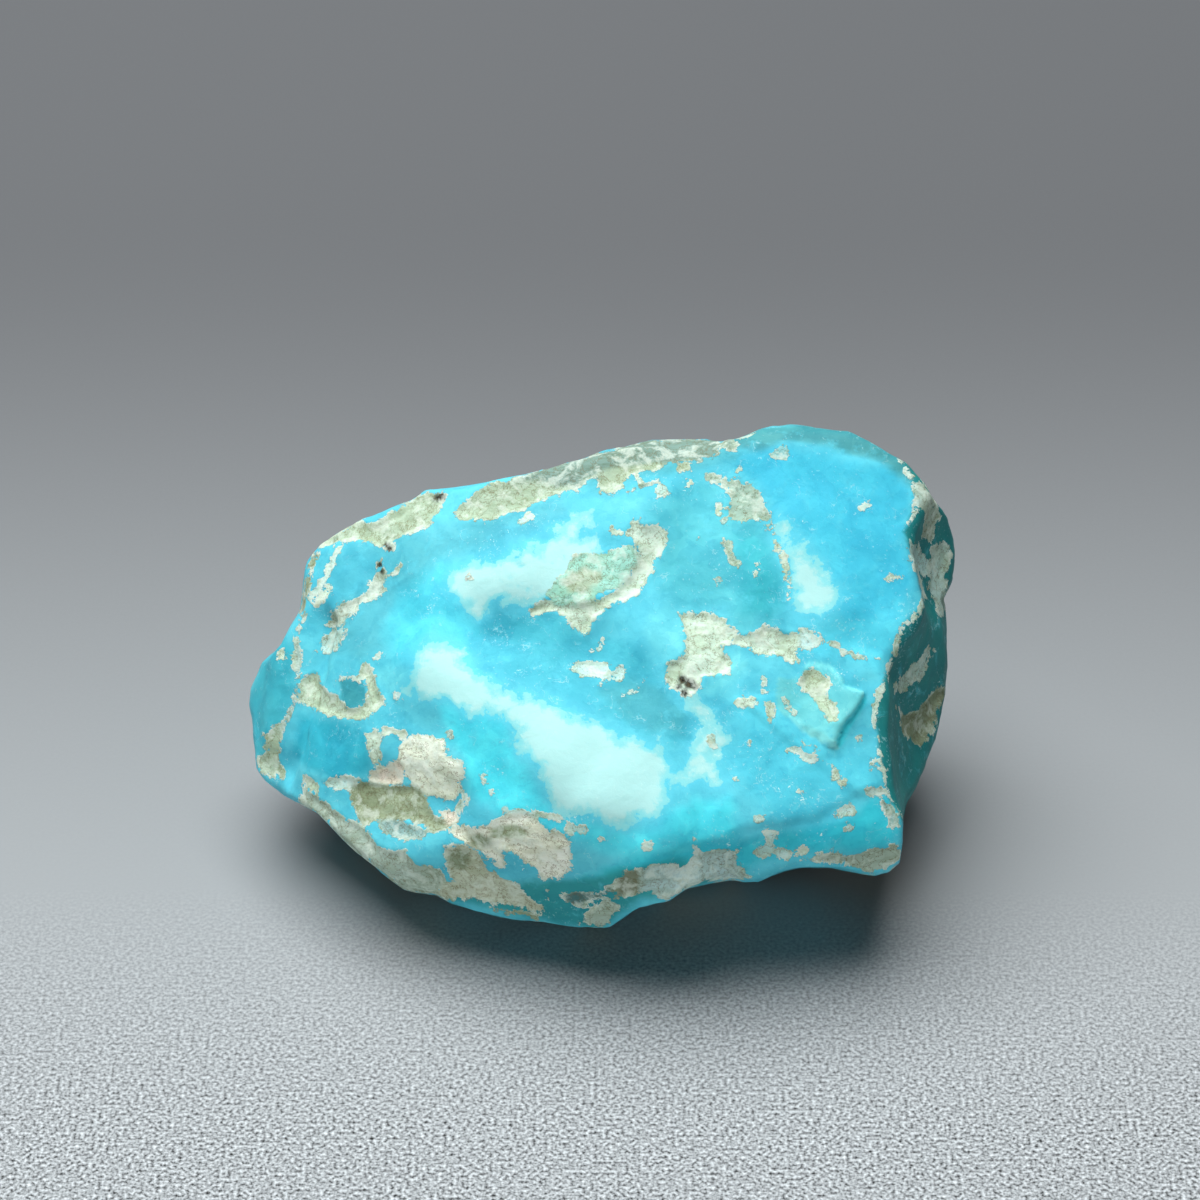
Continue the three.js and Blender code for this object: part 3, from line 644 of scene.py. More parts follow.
        (16.6, 4.8), (17.3, 4.7), (17.4, 4.0), (17.2, 3.0), (16.9, 2.9), (16.8, 3.8), (16.5, 4.2),
    ]),
    "wallStreak": ("wallGrey", 0.06, 0.08, [
        (14.8, -0.5), (15.0, -0.2), (15.2, 0.1), (15.5, 0.5), (15.9, 0.7), (16.1, 1.0), (16.4, 1.4),
        (16.6, 1.2), (16.3, 0.7), (16.2, 0.1), (16.0, -0.2), (15.6, -0.3), (15.2, -0.8),
        (14.8, -0.8),
    ]),
    "wallBrown": ("brown", 0.15, 0.1, [
        (14.9, -1.6), (15.2, -2.0), (15.8, -1.9), (16.1, -1.5), (16.5, -1.1), (16.8, -0.8),
        (17.1, -0.6), (17.4, -0.8), (17.2, -1.2), (16.9, -1.9), (16.8, -2.4), (16.5, -3.0),
        (16.1, -3.6), (15.8, -3.4), (15.2, -2.9), (15.0, -2.2),
    ]),
    "wallTop": ("greyTan", 0.05, 0.35, [
        (15.9, 9.8), (16.2, 9.4), (16.6, 8.9), (16.8, 8.2), (16.8, 7.5), (16.5, 6.8), (16.2, 7.0),
        (16.3, 8.0), (16.0, 8.8),
    ]),
    "wallRim": ("white", 0.0, 0.06, [
        (15.0, 10.7), (15.6, 9.8), (15.9, 8.8), (15.6, 7.8), (15.2, 7.2), (15.2, 7.0), (15.5, 6.8),
        (15.4, 6.3), (15.7, 5.6), (16.0, 4.8), (16.2, 4.2), (16.1, 3.5), (15.8, 3.0), (15.2, 2.5),
        (14.9, 1.8), (14.6, 1.0), (14.3, 0.0), (14.0, -0.9), (13.6, -1.9), (13.7, -2.4),
        (13.9, -3.0), (14.0, -4.2), (14.2, -5.2), (14.5, -6.2), (15.1, -7.3),
    ], 0.11),
}

# Round spots of host rock by tint: right, up, radius
rockSpots = {
    "white": [
        (-10.1, -1.0, 0.15), (-11.1, 0.9, 0.15), (3.1, 9.3, 0.25), (2.9, 9.1, 0.15),
        (3.5, 9.4, 0.15), (2.0, 9.8, 0.15), (-3.9, 7.7, 0.15), (-3.5, 7.9, 0.15), (13.3, 8.4, 0.2),
        (13.1, 8.3, 0.1), (13.6, 8.6, 0.1), (7.8, -1.4, 0.1), (-4.7, -6.7, 0.2), (-1.4, -7.7, 0.3),
        (-0.9, -7.8, 0.25), (0.0, -8.2, 0.1), (2.4, -8.5, 0.2), (-7.5, -3.0, 0.15),
        (-5.8, -5.0, 0.1), (-5.7, -5.4, 0.15), (-5.5, -5.8, 0.15), (5.9, 4.7, 0.15),
        (6.2, 7.7, 0.15), (6.8, -5.2, 0.1), (10.0, -5.8, 0.1), (5.6, -3.1, 0.15), (5.7, -3.5, 0.15),
        (13.0, -3.2, 0.1),
    ],
    "tan": [(4.4, 9.6, 0.15), (6.9, 10.2, 0.15)],
    "black": [
        (-8.2, 8.9, 0.15), (-7.9, 9.0, 0.15), (-7.8, 8.8, 0.1), (-10.7, 6.5, 0.15),
        (-10.5, 6.3, 0.15), (-11.0, 5.5, 0.15), (-10.9, 5.2, 0.1), (4.1, -0.2, 0.2),
        (4.5, -0.4, 0.25), (4.8, -0.6, 0.15), (4.2, -0.9, 0.2), (3.9, -0.6, 0.15), (4.8, 6.8, 0.1),
        (-6.7, 4.8, 0.07), (-6.5, 4.9, 0.07),
    ],
}

# Windows of turquoise in the host rock
rockWindows = {
    "leftPit": [
        (-13.0, -0.3), (-12.5, -0.2), (-11.9, -0.3), (-11.7, -0.6), (-11.7, -1.0), (-11.8, -1.4),
        (-12.2, -1.6), (-12.6, -1.7), (-12.8, -1.6), (-13.0, -1.1), (-12.9, -0.8),
    ],
    "crustWindow": [
        (-10.8, -3.1), (-10.5, -2.9), (-10.0, -3.1), (-9.9, -3.5), (-10.1, -4.1), (-10.4, -4.3),
        (-10.6, -4.6), (-10.9, -4.3), (-10.9, -3.8),
    ],
    "recessWindow": [(-8.7, -6.2), (-8.3, -6.3), (-8.0, -6.8), (-8.2, -7.0), (-8.4, -6.8)],
    "edgeTongue": [
        (-11.0, -8.2), (-10.8, -8.0), (-10.2, -8.2), (-9.5, -8.2), (-8.8, -8.2), (-8.5, -7.8),
        (-8.2, -8.2), (-8.0, -8.8), (-7.8, -9.3), (-7.5, -10.0), (-7.2, -10.3), (-7.6, -10.2),
        (-8.0, -9.8), (-8.4, -9.6), (-9.0, -9.3), (-9.5, -8.8), (-10.0, -8.7), (-10.6, -8.7),
    ],
    "cornerWindow": [
        (-4.8, -8.8), (-4.4, -8.8), (-4.0, -9.2), (-3.6, -9.7), (-3.2, -10.0), (-3.6, -10.2),
        (-4.2, -9.8), (-4.8, -9.5),
    ],
}

# Milky turquoise on the front, partly painted highlight where the soft light reflects: how milky at
# most, and the outline
milkAndHighlightZones = {
    "milkAndHighlightLowMiddle": (2.0, [
        (-9.8, -0.8), (-9.5, 0.1), (-9.2, 1.0), (-8.8, 1.8), (-8.2, 2.1), (-8.0, 1.6), (-7.2, 1.2),
        (-6.5, 0.8), (-6.1, 0.1), (-5.5, -0.2), (-5.0, -0.8), (-4.2, -1.0), (-3.5, -0.9),
        (-2.8, -1.1), (-2.2, -1.6), (-1.8, -1.9), (-1.0, -2.0), (0.0, -2.2), (0.4, -2.6),
        (0.9, -3.0), (2.0, -3.2), (3.0, -3.4), (3.2, -3.9), (3.4, -4.3), (3.8, -5.0), (3.6, -5.5),
        (3.2, -6.0), (3.1, -6.5), (3.2, -7.0), (3.0, -7.3), (2.0, -7.2), (1.2, -7.8), (0.6, -7.7),
        (0.0, -7.2), (-1.0, -7.0), (-1.8, -7.0), (-2.2, -6.7), (-2.4, -6.2), (-2.8, -5.8),
        (-3.0, -5.2), (-3.2, -4.5), (-3.8, -4.1), (-4.2, -3.9), (-4.3, -3.5), (-4.1, -3.0),
        (-4.4, -2.4), (-4.8, -2.0), (-5.2, -1.9), (-5.8, -1.8), (-6.5, -1.9), (-7.2, -1.6),
        (-8.0, -1.4), (-9.0, -1.0),
    ]),
    "milkAndHighlightUpperLeft": (0.7, [
        (-8.0, 4.2), (-7.2, 5.2), (-6.5, 5.8), (-5.0, 5.8), (-4.0, 6.3), (-2.8, 6.8), (-2.0, 7.5),
        (-1.4, 8.1), (-0.4, 8.2), (-0.5, 7.5), (-1.2, 6.8), (0.0, 6.8), (0.0, 6.2), (1.2, 5.8),
        (1.0, 4.2), (-2.0, 3.8), (-3.8, 3.6), (-5.2, 3.6), (-5.7, 3.1), (-6.1, 2.8), (-6.6, 3.2),
        (-7.0, 3.9),
    ]),
    "milkAndHighlightLobe": (0.9, [
        (8.6, 7.5), (9.0, 7.8), (9.5, 7.5), (9.8, 7.0), (10.2, 6.5), (10.8, 6.0), (10.9, 5.5),
        (11.5, 4.8), (11.9, 4.5), (11.9, 3.8), (11.4, 3.1), (11.0, 2.9), (10.3, 2.9), (9.9, 3.1),
        (9.6, 3.8), (9.5, 4.5), (9.5, 5.2), (9.2, 6.0), (8.9, 6.8),
    ]),
    "milkAndHighlightRight": (0.35, [
        (4.5, -0.8), (5.0, -1.5), (5.6, -1.9), (6.2, -2.6), (6.5, -3.4), (6.1, -4.2), (5.9, -4.8),
        (6.2, -5.5), (5.8, -5.7), (5.2, -5.2), (4.8, -5.2), (4.0, -5.5), (3.6, -5.8), (3.0, -5.5),
        (3.6, -5.0), (4.2, -4.7), (4.6, -4.0), (4.5, -3.2), (4.8, -2.5), (4.6, -1.9), (4.2, -1.2),
    ]),
}

# Paler and deeper turquoise on the front, some of it painted shade and painted light: tint,
# strength, softness of its edge, outline
bodyZones = {
    "lobe": ("lobeBlue", 0.9, 0.5, [
        (7.2, 11.0), (9.5, 11.5), (12.5, 10.8), (14.8, 10.3), (15.6, 8.8), (15.2, 6.8), (15.8, 4.8),
        (15.2, 3.2), (14.0, 1.8), (12.5, 1.0), (11.9, 3.8), (11.0, 5.8), (10.0, 6.8), (8.8, 7.8),
        (8.4, 8.8), (7.8, 9.8), (6.8, 10.2),
    ]),
    # Painted shade: the crest's top edge tinted darker teal
    "crest": ("crestTealPaintedShade", 0.9, 0.25, [
        (6.2, 11.5), (7.2, 12.2), (8.5, 12.5), (11.5, 12.6), (14.0, 11.8), (15.8, 10.2),
        (15.6, 9.5), (14.0, 10.7), (12.5, 11.0), (11.5, 11.5), (9.2, 11.6), (8.0, 11.2),
    ]),
    # Painted shade: a fainter darker teal along the left crest
    "crestLeft": ("crestTealPaintedShade", 0.5, 0.4, [
        (-1.0, 10.2), (2.0, 11.8), (6.0, 11.8), (6.8, 11.0), (5.0, 10.2), (2.0, 10.0), (0.0, 9.0),
    ]),
    "crown": ("crownTeal", 0.9, 0.6, [
        (2.0, 8.5), (5.0, 10.0), (6.5, 9.0), (8.0, 7.8), (8.8, 6.5), (9.4, 3.8), (8.8, 2.4),
        (6.8, 2.1), (6.0, 3.1), (3.5, 3.2), (2.8, 5.0), (3.4, 7.0),
    ]),
    # Painted shade: darker teal in the crease right of the crown
    "crownHollow": ("crownCreasePaintedShade", 0.9, 0.5, [
        (6.9, 7.0), (8.1, 7.3), (9.0, 5.2), (9.3, 3.8), (8.5, 2.8), (7.2, 3.1), (6.8, 4.8),
    ]),
    "middleBand": ("bandTeal", 0.95, 0.4, [
        (-6.5, 2.6), (-5.0, 3.1), (-2.0, 2.9), (-1.0, 2.0), (2.0, 1.5), (3.2, -0.8), (4.4, -1.5),
        (4.5, -3.2), (3.5, -3.6), (2.0, -2.9), (0.0, -1.9), (-2.0, -1.2), (-4.0, -0.3), (-5.5, 0.3),
        (-6.5, 1.2),
    ]),
    "middleBandDark": ("bandDark", 0.9, 0.4, [
        (0.0, -0.8), (1.5, -0.2), (3.2, -0.8), (4.5, -1.9), (4.2, -3.0), (3.0, -3.0), (1.5, -2.4),
    ]),
    "upperLeft": ("shoulderBlue", 0.8, 0.6, [
        (-13.5, 5.8), (-10.0, 7.2), (-6.5, 7.8), (-2.0, 8.8), (-1.2, 8.2), (-4.0, 6.8), (-7.5, 6.0),
        (-8.5, 4.2), (-10.0, 1.8), (-12.0, 0.8), (-13.5, 1.2),
    ]),
    "leftUpper": ("leftBlue", 0.8, 0.4, [
        (-13.8, 5.8), (-12.5, 6.3), (-11.1, 6.0), (-11.2, 5.2), (-11.9, 4.2), (-12.8, 3.8),
        (-13.5, 2.9), (-14.0, 3.8),
    ]),
    "leftBright": ("brightCyan", 0.7, 0.6, [
        (-10.0, 4.2), (-8.0, 5.8), (-6.5, 4.2), (-6.0, 1.8), (-8.5, 1.8), (-10.2, 0.8),
        (-10.8, 2.5),
    ]),
    "leftLow": ("lowBlue", 0.9, 0.3, [
        (-15.0, -1.9), (-13.0, -2.4), (-11.6, -2.9), (-11.4, -4.7), (-13.0, -5.2), (-14.5, -4.8),
        (-15.4, -3.8),
    ]),
    # Painted shade: the left nose tinted darker teal
    "nose": ("noseTealPaintedShade", 0.95, 0.3, [
        (-17.6, -1.2), (-17.0, 1.0), (-15.8, 1.9), (-15.2, 1.2), (-15.2, -0.8), (-15.8, -2.5),
        (-16.6, -3.1), (-16.9, -4.2), (-17.4, -3.8),
    ]),
    # Painted light: a brighter cyan on the lower faces
    "lowerMiddle": ("lowCyanPaintedLight", 0.9, 0.5, [
        (-8.0, -1.5), (-5.0, -2.0), (-4.0, -4.2), (-2.8, -6.2), (-1.0, -7.2), (2.0, -7.8),
        (5.0, -6.2), (6.5, -6.2), (7.0, -8.2), (4.5, -8.8), (1.0, -9.0), (-1.5, -8.0), (-5.0, -6.8),
        (-6.5, -5.8), (-6.9, -4.2), (-7.5, -3.2),
    ]),
    "lowerRight": ("rightTeal", 0.9, 0.6, [
        (7.0, -1.2), (8.8, -0.8), (9.5, -2.2), (12.0, -3.5), (13.5, -4.2), (14.2, -6.2),
        (13.0, -7.8), (10.0, -7.8), (7.5, -6.2), (6.5, -4.2),
    ]),
    "flakeTop": ("flakeTeal", 1.0, 0.06, [
        (8.9, -0.1), (9.5, -0.2), (10.0, -0.1), (10.3, 0.5), (10.6, 0.6), (11.1, 0.5), (11.6, 0.3),
        (12.0, -0.1), (12.2, -0.6), (12.8, -0.8), (13.2, -0.9), (13.0, -1.4), (12.6, -2.0),
        (12.2, -2.4), (12.0, -2.8), (11.9, -3.1), (11.7, -3.6), (11.4, -3.5), (10.8, -3.0),
        (10.0, -2.5), (9.5, -2.2), (9.1, -2.0), (8.8, -1.5), (8.8, -1.0),
    ]),
    # Painted light: a brighter cyan on the flake's shaded foot
    "flakeDrop": ("flakeFootPaintedLight", 0.8, 0.1, [
        (13.2, -0.9), (13.3, -1.4), (12.9, -2.0), (12.4, -2.8), (12.1, -3.4), (11.8, -3.8),
        (11.7, -3.4), (12.1, -2.5), (12.7, -1.8),
    ]),
    "pit": ("pitTeal", 0.9, 0.1, [
        (-13.0, -0.3), (-12.5, -0.2), (-11.9, -0.3), (-11.7, -0.6), (-11.7, -1.0), (-11.8, -1.4),
        (-12.2, -1.6), (-12.6, -1.7), (-12.8, -1.6), (-13.0, -1.1), (-12.9, -0.8),
    ]),
    # Painted highlight along the flake's lower edge
    "flakeLowerEdge": ("flakeEdgeHighlight", 1.0, 0.05, [
        (9.4, -2.0), (9.8, -2.1), (10.2, -2.4), (10.6, -2.8), (11.1, -3.0), (11.5, -3.3),
        (11.9, -3.5), (11.8, -3.8), (11.3, -3.5), (10.8, -3.2), (10.2, -2.9), (9.8, -2.5),
        (9.5, -2.2),
    ]),
    # The flake's upper edge in the same pale, a painted highlight
    "flakeUpperEdge": ("flakeEdgeHighlight", 0.9, 0.05, [
        (10.3, 0.6), (10.7, 0.7), (11.2, 0.6), (11.7, 0.4), (12.1, -0.1), (12.2, -0.5),
        (12.8, -0.7), (13.2, -0.9), (13.1, -1.1), (12.7, -0.9), (12.1, -0.7), (11.8, -0.2),
        (11.5, 0.2), (11.1, 0.3), (10.6, 0.4), (10.3, 0.3),
    ]),
    "haloMiddle": ("paleCyan", 0.8, 0.4, [
        (2.5, 3.0), (3.4, 3.5), (4.5, 3.4), (4.6, 1.8), (4.5, 1.0), (3.4, 0.8), (2.8, 1.2),
        (2.2, 2.1),
    ]),
    "haloMiddleRight": ("paleCyan", 0.8, 0.3, [
        (6.1, 0.6), (6.5, 1.0), (7.0, 1.2), (7.4, 0.8), (7.2, 0.1), (6.8, -0.2), (6.0, -0.8),
        (5.2, -1.0), (5.0, -0.8), (5.8, -0.2),
    ]),
    "haloUpper": ("paleCyan", 0.6, 0.3, [
        (0.0, 8.8), (1.0, 8.9), (2.0, 8.8), (2.1, 8.3), (1.2, 8.2), (0.0, 8.2),
    ]),
    "haloCrown": ("paleCyan", 0.3, 0.4, [
        (2.0, 8.8), (3.2, 9.0), (4.5, 8.8), (5.0, 8.2), (4.5, 7.8), (3.2, 8.0), (2.4, 8.2),
    ]),
    "haloLeft": ("paleCyan", 0.7, 0.3, [
        (-11.2, 0.1), (-10.6, 0.5), (-9.9, 0.2), (-9.8, -0.3), (-10.5, -0.8), (-11.0, -0.5),
    ]),
    "rightBright": ("lobeLight", 0.9, 0.5, [
        (10.0, 1.1), (11.5, 2.5), (13.5, 2.8), (15.0, 3.8), (15.2, 2.8), (14.5, 1.2), (14.0, 0.1),
        (12.5, 1.0), (11.0, 1.0),
    ]),
    "lip": ("lipTeal", 0.9, 0.35, [
        (-1.2, -10.2), (2.0, -9.0), (4.5, -8.6), (7.0, -8.3), (10.0, -7.8), (12.5, -7.3),
        (13.5, -6.2), (14.5, -6.0), (15.0, -7.8), (14.5, -8.5), (12.5, -8.8), (10.0, -8.8),
        (7.0, -9.6), (4.5, -9.8), (1.0, -10.2),
    ]),
    # Painted shade: the steep front wall tinted darker teal
    "frontWall": ("frontTealPaintedShade", 0.9, 0.3, [
        (-7.8, -11.2), (-3.0, -10.2), (-1.2, -10.2), (1.0, -9.7), (4.5, -9.2), (7.2, -9.7),
        (5.0, -10.5), (2.0, -11.2), (0.0, -12.7), (-2.8, -12.2),
    ]),
    # Painted shade: the right wall, turned from the light, tinted dark teal
    "rightWall": ("deepTealAndWallShade", 0.95, 0.12, [
        (15.1, 10.7), (16.2, 10.0), (17.5, 8.0), (18.0, 5.8), (17.5, 2.8), (17.8, -0.2),
        (16.8, -3.2), (15.5, -7.5), (15.1, -7.3), (14.5, -6.2), (14.2, -5.2), (14.0, -4.2),
        (13.9, -3.0), (13.6, -1.9), (14.0, -0.9), (14.3, 0.0), (14.6, 1.0), (14.9, 1.8),
        (15.2, 2.5), (16.1, 3.5), (16.2, 4.2), (16.0, 4.8), (15.6, 6.0), (15.2, 7.1), (15.9, 8.8),
        (15.6, 9.8),
    ]),
}

# Tints of the host rock, sRGB.  The crest and crown tints are darker copies, painted shade up top;
# the two low tints are lighter copies, painted light on the low faces
rockTints = {
    "greenTan": "#B4CDB4", "greyTan": "#B2CABC", "tan": "#C2DCC4", "cream": "#D2EEDC",
    "white": "#C4EEEA", "paleTeal": "#86CBD0", "paleGreen": "#F0FCEA", "pinkTan": "#F8F2E2",
    "hazeGreen": "#A6E4D4", "olive": "#A0B294", "brown": "#96A88E", "bluish": "#96C0BE",
    "lavender": "#B2D2D0", "darkTeal": "#2A7F90", "black": "#202420", "crestTan": "#7E9E94",
    "crownCream": "#A6C8B8", "lowCream": "#F6FEF0", "wallGrey": "#C0E2DA", "tealGrey": "#56868A",
    "lowGrey": "#CCD8C2", "darkBrown": "#84907A",
}

# The minerals' ragged borders, layers of lumps: height, size, seed, squeeze, millimetres
fraying = {
    "rockBreaks": ((0.6, 0.7, 5, (0.6, 1, 1)), (0.4, 0.35, 6)),
    "rockEdge": ((0.08, 0.6, 3), (0.08, 0.33, 4)),
    "milkAndHighlightEdge": ((0.3, 0.7, 7), (0.2, 0.35, 8)),
    "zoneBreaks": ((0.5, 0.9, 9), (0.5, 0.4, 10)),
}

# Host rock of the sides that the front doesn't show.  Tints: size, seed, from and to which lump
farRock = {
    "patches": ((0.65, 6.0, 21, (0.75, 1, 1)), (0.3, 2.0, 22)),
    "threshold": 0.18,
    "steepness": 3.5,
    "veins": {"size": 4.5, "seed": 23, "squeeze": (0.7, 1, 1.2), "width": 0.1, "steepness": 0.8},
    "frays": 0.25,
    "depth": 0.15,
    "tint": "greyTan",
    "tints": {"greenTan": (2.4, 24, -0.7, 0.7), "tan": (1.5, 25, 0.1, 0.6)},
}

# The unseen underside is darker and browner, the darkening painted shade under the stone, heights
# above the floor in millimetres
undersideShadeAndTint = {"rock": "#6E6A54", "turquoise": "#1D5650", "fullBelow": 1.0, "goneAbove": 5.0}

# Tints of the turquoise, sRGB.  The crest, crown crease, nose and front wall tints are painted
# shade, the right wall tint painted shade there and a deeper teal on the far sides; the low cyan
# and flake foot are painted light; the flake rim is a painted highlight
turquoiseTints = {
    "body": "#66D7E7", "lobeBlue": "#49D0EA", "crestTealPaintedShade": "#4C9D9F", "crownTeal": "#5DCDD8",
    "crownCreasePaintedShade": "#3FC1CC", "bandTeal": "#4EC5D6", "bandDark": "#4EB4C0", "shoulderBlue": "#60C2CF",
    "lowBlue": "#37BED3", "noseTealPaintedShade": "#4AC1CF", "lowCyanPaintedLight": "#5CF4FF", "rightTeal": "#62DFF1",
    "flakeTeal": "#79DCDF", "lipTeal": "#3ADAE9", "deepTealAndWallShade": "#238984", "frontTealPaintedShade": "#2A9C9C",
    "pitTeal": "#42A5AF", "flakeEdgeHighlight": "#9AF9F7", "flakeFootPaintedLight": "#40EEFA", "leftBlue": "#4EBCD0",
    "brightCyan": "#5BE7F7", "paleCyan": "#7FE9F0", "lobeLight": "#6AEDFF",
}

# Turquoise of the sides that the front doesn't show.  Tints: size and seed of their lumps
farTurquoise = {
    "tint": "bandTeal",
    "tints": {"deepTealAndWallShade": (6.5, 41), "lobeBlue": (5.0, 42), "lipTeal": (3.0, 43)},
    "strength": 0.8,
    "milkAndHighlight": {"size": 5.5, "seed": 31, "threshold": 0.5, "steepness": 4, "most": 0.3},
}

# Brightening of the turquoise around its milky zones, on the front a painted fringe of highlight,
# reach in millimetres
milkAndHighlightGlow = {"colour": "#62D8EC", "reach": 1.8, "share": 0.45}
wellOutside = -2.0    # millimetres inside an outline, where it is far away


def insideOutline(places, outline):    # millimetres inside a closed outline, minus outside
    inside = np.full(len(places), wellOutside)
    corners = np.array(outline)
    low, high = corners.min(0) + wellOutside, corners.max(0) - wellOutside
    near = np.all((places > low) & (places < high), axis=1)
    spots = places[near]
    nearest = np.full(len(spots), -wellOutside)
    within = np.zeros(len(spots), bool)
    for a, b in zip(corners, np.roll(corners, -1, axis=0)):
        nearest = np.minimum(nearest, edgeDistance(spots, a, b))
        edge = b - a
        if edge[1]:
            crosses = (a[1] > spots[:, 1]) != (b[1] > spots[:, 1])
            within ^= crosses & (spots[:, 0] < a[0] + (spots[:, 1] - a[1]) * edge[0] / edge[1])
    inside[near] = np.where(within, nearest, -nearest)
    return inside


def awayFromPath(places, path):    # millimetres from the path, 9 at most
    away = np.full(len(places), 9.0)
    for a, b in zip(np.array(path[:-1]), np.array(path[1:])):
        away = np.minimum(away, edgeDistance(places, a, b))
    return away


def linearColour(hexColour):    # sRGB hex to linear red, green, blue
    parts = np.array([int(hexColour[i:i + 2], 16) / 255 for i in (1, 3, 5)])
    return np.where(parts < 0.04045, parts / 12.92, ((parts + 0.055) / 1.055) ** 2.4)


def plain(points, hexColour):
    return np.zeros((len(points), 3)) + linearColour(hexColour)


def laidOver(colours, share, hexColour):
    return colours + share[:, None] * (linearColour(hexColour) - colours)


def frontPlaces(points, normals):    # where the sight sees each point, and whether it faces it
    out = points @ outWay
    closer = 1 - out / sight["distance"]
    places = np.stack([points @ rightWay / closer, points @ upWay / closer], axis=1)
    return places, smoothStep(normals @ outWay, -0.12, 0.12)


def undersideOf(points):    # 1 on the face it lies on, fading up its unseen sides
    ground = points[:, 2] + stone["middleHeight"]
    return 1 - smoothStep(ground, undersideShadeAndTint["fullBelow"], undersideShadeAndTint["goneAbove"])


def blended(seen, front, far):    # the front's values where it is seen, the far sides' elsewhere
    share = seen if front.ndim == 1 else seen[:, None]
    return share * front + (1 - share) * far


def frontRock(places, breaks):    # how far inside host rock, its tint, how far it is sunk
    rock = np.full(len(places), wellOutside)
    tint = plain(places, rockTints["greenTan"])
    sunk = np.zeros(len(places))
    for name, depth, frays, line, *width in rockPatches.values():
        if width:
            inside = width[0] / 2 - np.minimum(awayFromPath(places, line), -wellOutside)
        else:
            inside = insideOutline(places, line)
        inside = inside + frays * breaks
        share = smoothStep(inside, -0.15, 0.15)
        tint = laidOver(tint, share, rockTints[name])
        sunk += share * (depth - sunk)
        rock = np.maximum(rock, inside)
    for name, spots in rockSpots.items():
        for right, up, radius in spots:
            inside = radius - np.hypot(places[:, 0] - right, places[:, 1] - up)
            tint = laidOver(tint, smoothStep(inside, -0.1, 0.05), rockTints[name])
            rock = np.maximum(rock, inside)
    for outline in rockWindows.values():
        rock = np.minimum(rock, -insideOutline(places, outline))
    return rock, tint, sunk


def farSidesRock(points, breaks):
    patchy = lumpSum(points, farRock["patches"])
    veins = farRock["veins"]
    away = np.abs(lumps(points * veins["squeeze"], veins["size"], veins["seed"])) * veins["size"]
    inPatch = (patchy - farRock["threshold"]) * farRock["steepness"]
    inVein = veins["width"] - away * veins["steepness"]
    rock = np.maximum(inPatch, inVein) + farRock["frays"] * breaks
    tint = plain(points, rockTints[farRock["tint"]])
    for name, (size, seed, low, high) in farRock["tints"].items():
        tint = laidOver(tint, smoothStep(lumps(points, size, seed), low, high), rockTints[name])
    # Painted shade: the underside's rock darkened and browned
    tint = laidOver(tint, undersideOf(points), undersideShadeAndTint["rock"])
    return rock, tint, farRock["depth"] * smoothStep(patchy, 0, 0.8)


def hostRockOf(points, places, seen):
    breaks = lumpSum(points, fraying["rockBreaks"])
    rock, tint, sunk = (
        blended(seen, front, far)
        for front, far in zip(frontRock(places, breaks), farSidesRock(points, breaks))
    )
    return rock + lumpSum(points, fraying["rockEdge"]), tint, sunk


def milkAndHighlightOf(points, places, seen):    # how far inside the milky turquoise and, on the front, its painted highlights
    milkAndHighlight = np.full(len(points), wellOutside)
    for most, outline in milkAndHighlightZones.values():
        milkAndHighlight = np.maximum(milkAndHighlight, np.minimum(insideOutline(places, outline), most))
    far = farTurquoise["milkAndHighlight"]
    farMilk = (lumps(points, far["size"], far["seed"]) - far["threshold"]) * far["steepness"]
    milkAndHighlight = blended(seen, milkAndHighlight, np.minimum(farMilk, far["most"]))
    return milkAndHighlight + lumpSum(points, fraying["milkAndHighlightEdge"])


def turquoiseTintOf(points, places, seen, milkAndHighlight):
    breaks = lumpSum(points, fraying["zoneBreaks"])
    tint = plain(points, turquoiseTints["body"])
    for name, strength, soft, outline in bodyZones.values():
        inside = insideOutline(places, outline) + 0.6 * soft * breaks
        tint = laidOver(tint, strength * smoothStep(inside, -soft, soft), turquoiseTints[name])
    farTint = plain(points, turquoiseTints[farTurquoise["tint"]])
    for name, (size, seed) in farTurquoise["tints"].items():
        share = smoothStep(lumps(points, size, seed) + 0.2 * breaks, -0.1, 0.6)
        farTint = laidOver(farTint, farTurquoise["strength"] * share, turquoiseTints[name])
    # Painted shade: the underside's turquoise darkened
    farTint = laidOver(farTint, undersideOf(points), undersideShadeAndTint["turquoise"])
    tint = blended(seen, tint, farTint)
    # a painted fringe of highlight around the milky zones and painted highlights
    glow = milkAndHighlightGlow["share"] * smoothStep(milkAndHighlight, -milkAndHighlightGlow["reach"], 0.2) ** 2
    return laidOver(tint, glow, milkAndHighlightGlow["colour"])


# A thin flake standing proud: thin towards the left and top, thick at its lower right edge
flake = {
    "thickness": 0.38,
    "soft": 0.06,
    "thickSide": (1.0, -0.7),
    "thinFrom": 8.6,
    "thickFrom": 11.5,
    "outline": [
        (8.9, -0.1), (9.5, -0.2), (10.0, -0.1), (10.3, 0.5), (10.6, 0.6), (11.1, 0.5), (11.6, 0.3),
        (12.0, -0.1), (12.2, -0.6), (12.8, -0.8), (13.2, -0.9), (13.0, -1.4), (12.6, -2.0),
        (12.2, -2.4), (12.0, -2.8), (11.9, -3.1), (11.7, -3.6), (11.4, -3.5), (10.8, -3.0),
        (10.0, -2.5), (9.5, -2.2), (9.1, -2.0), (8.8, -1.5), (8.8, -1.0), (8.9, -0.6),
    ],
}

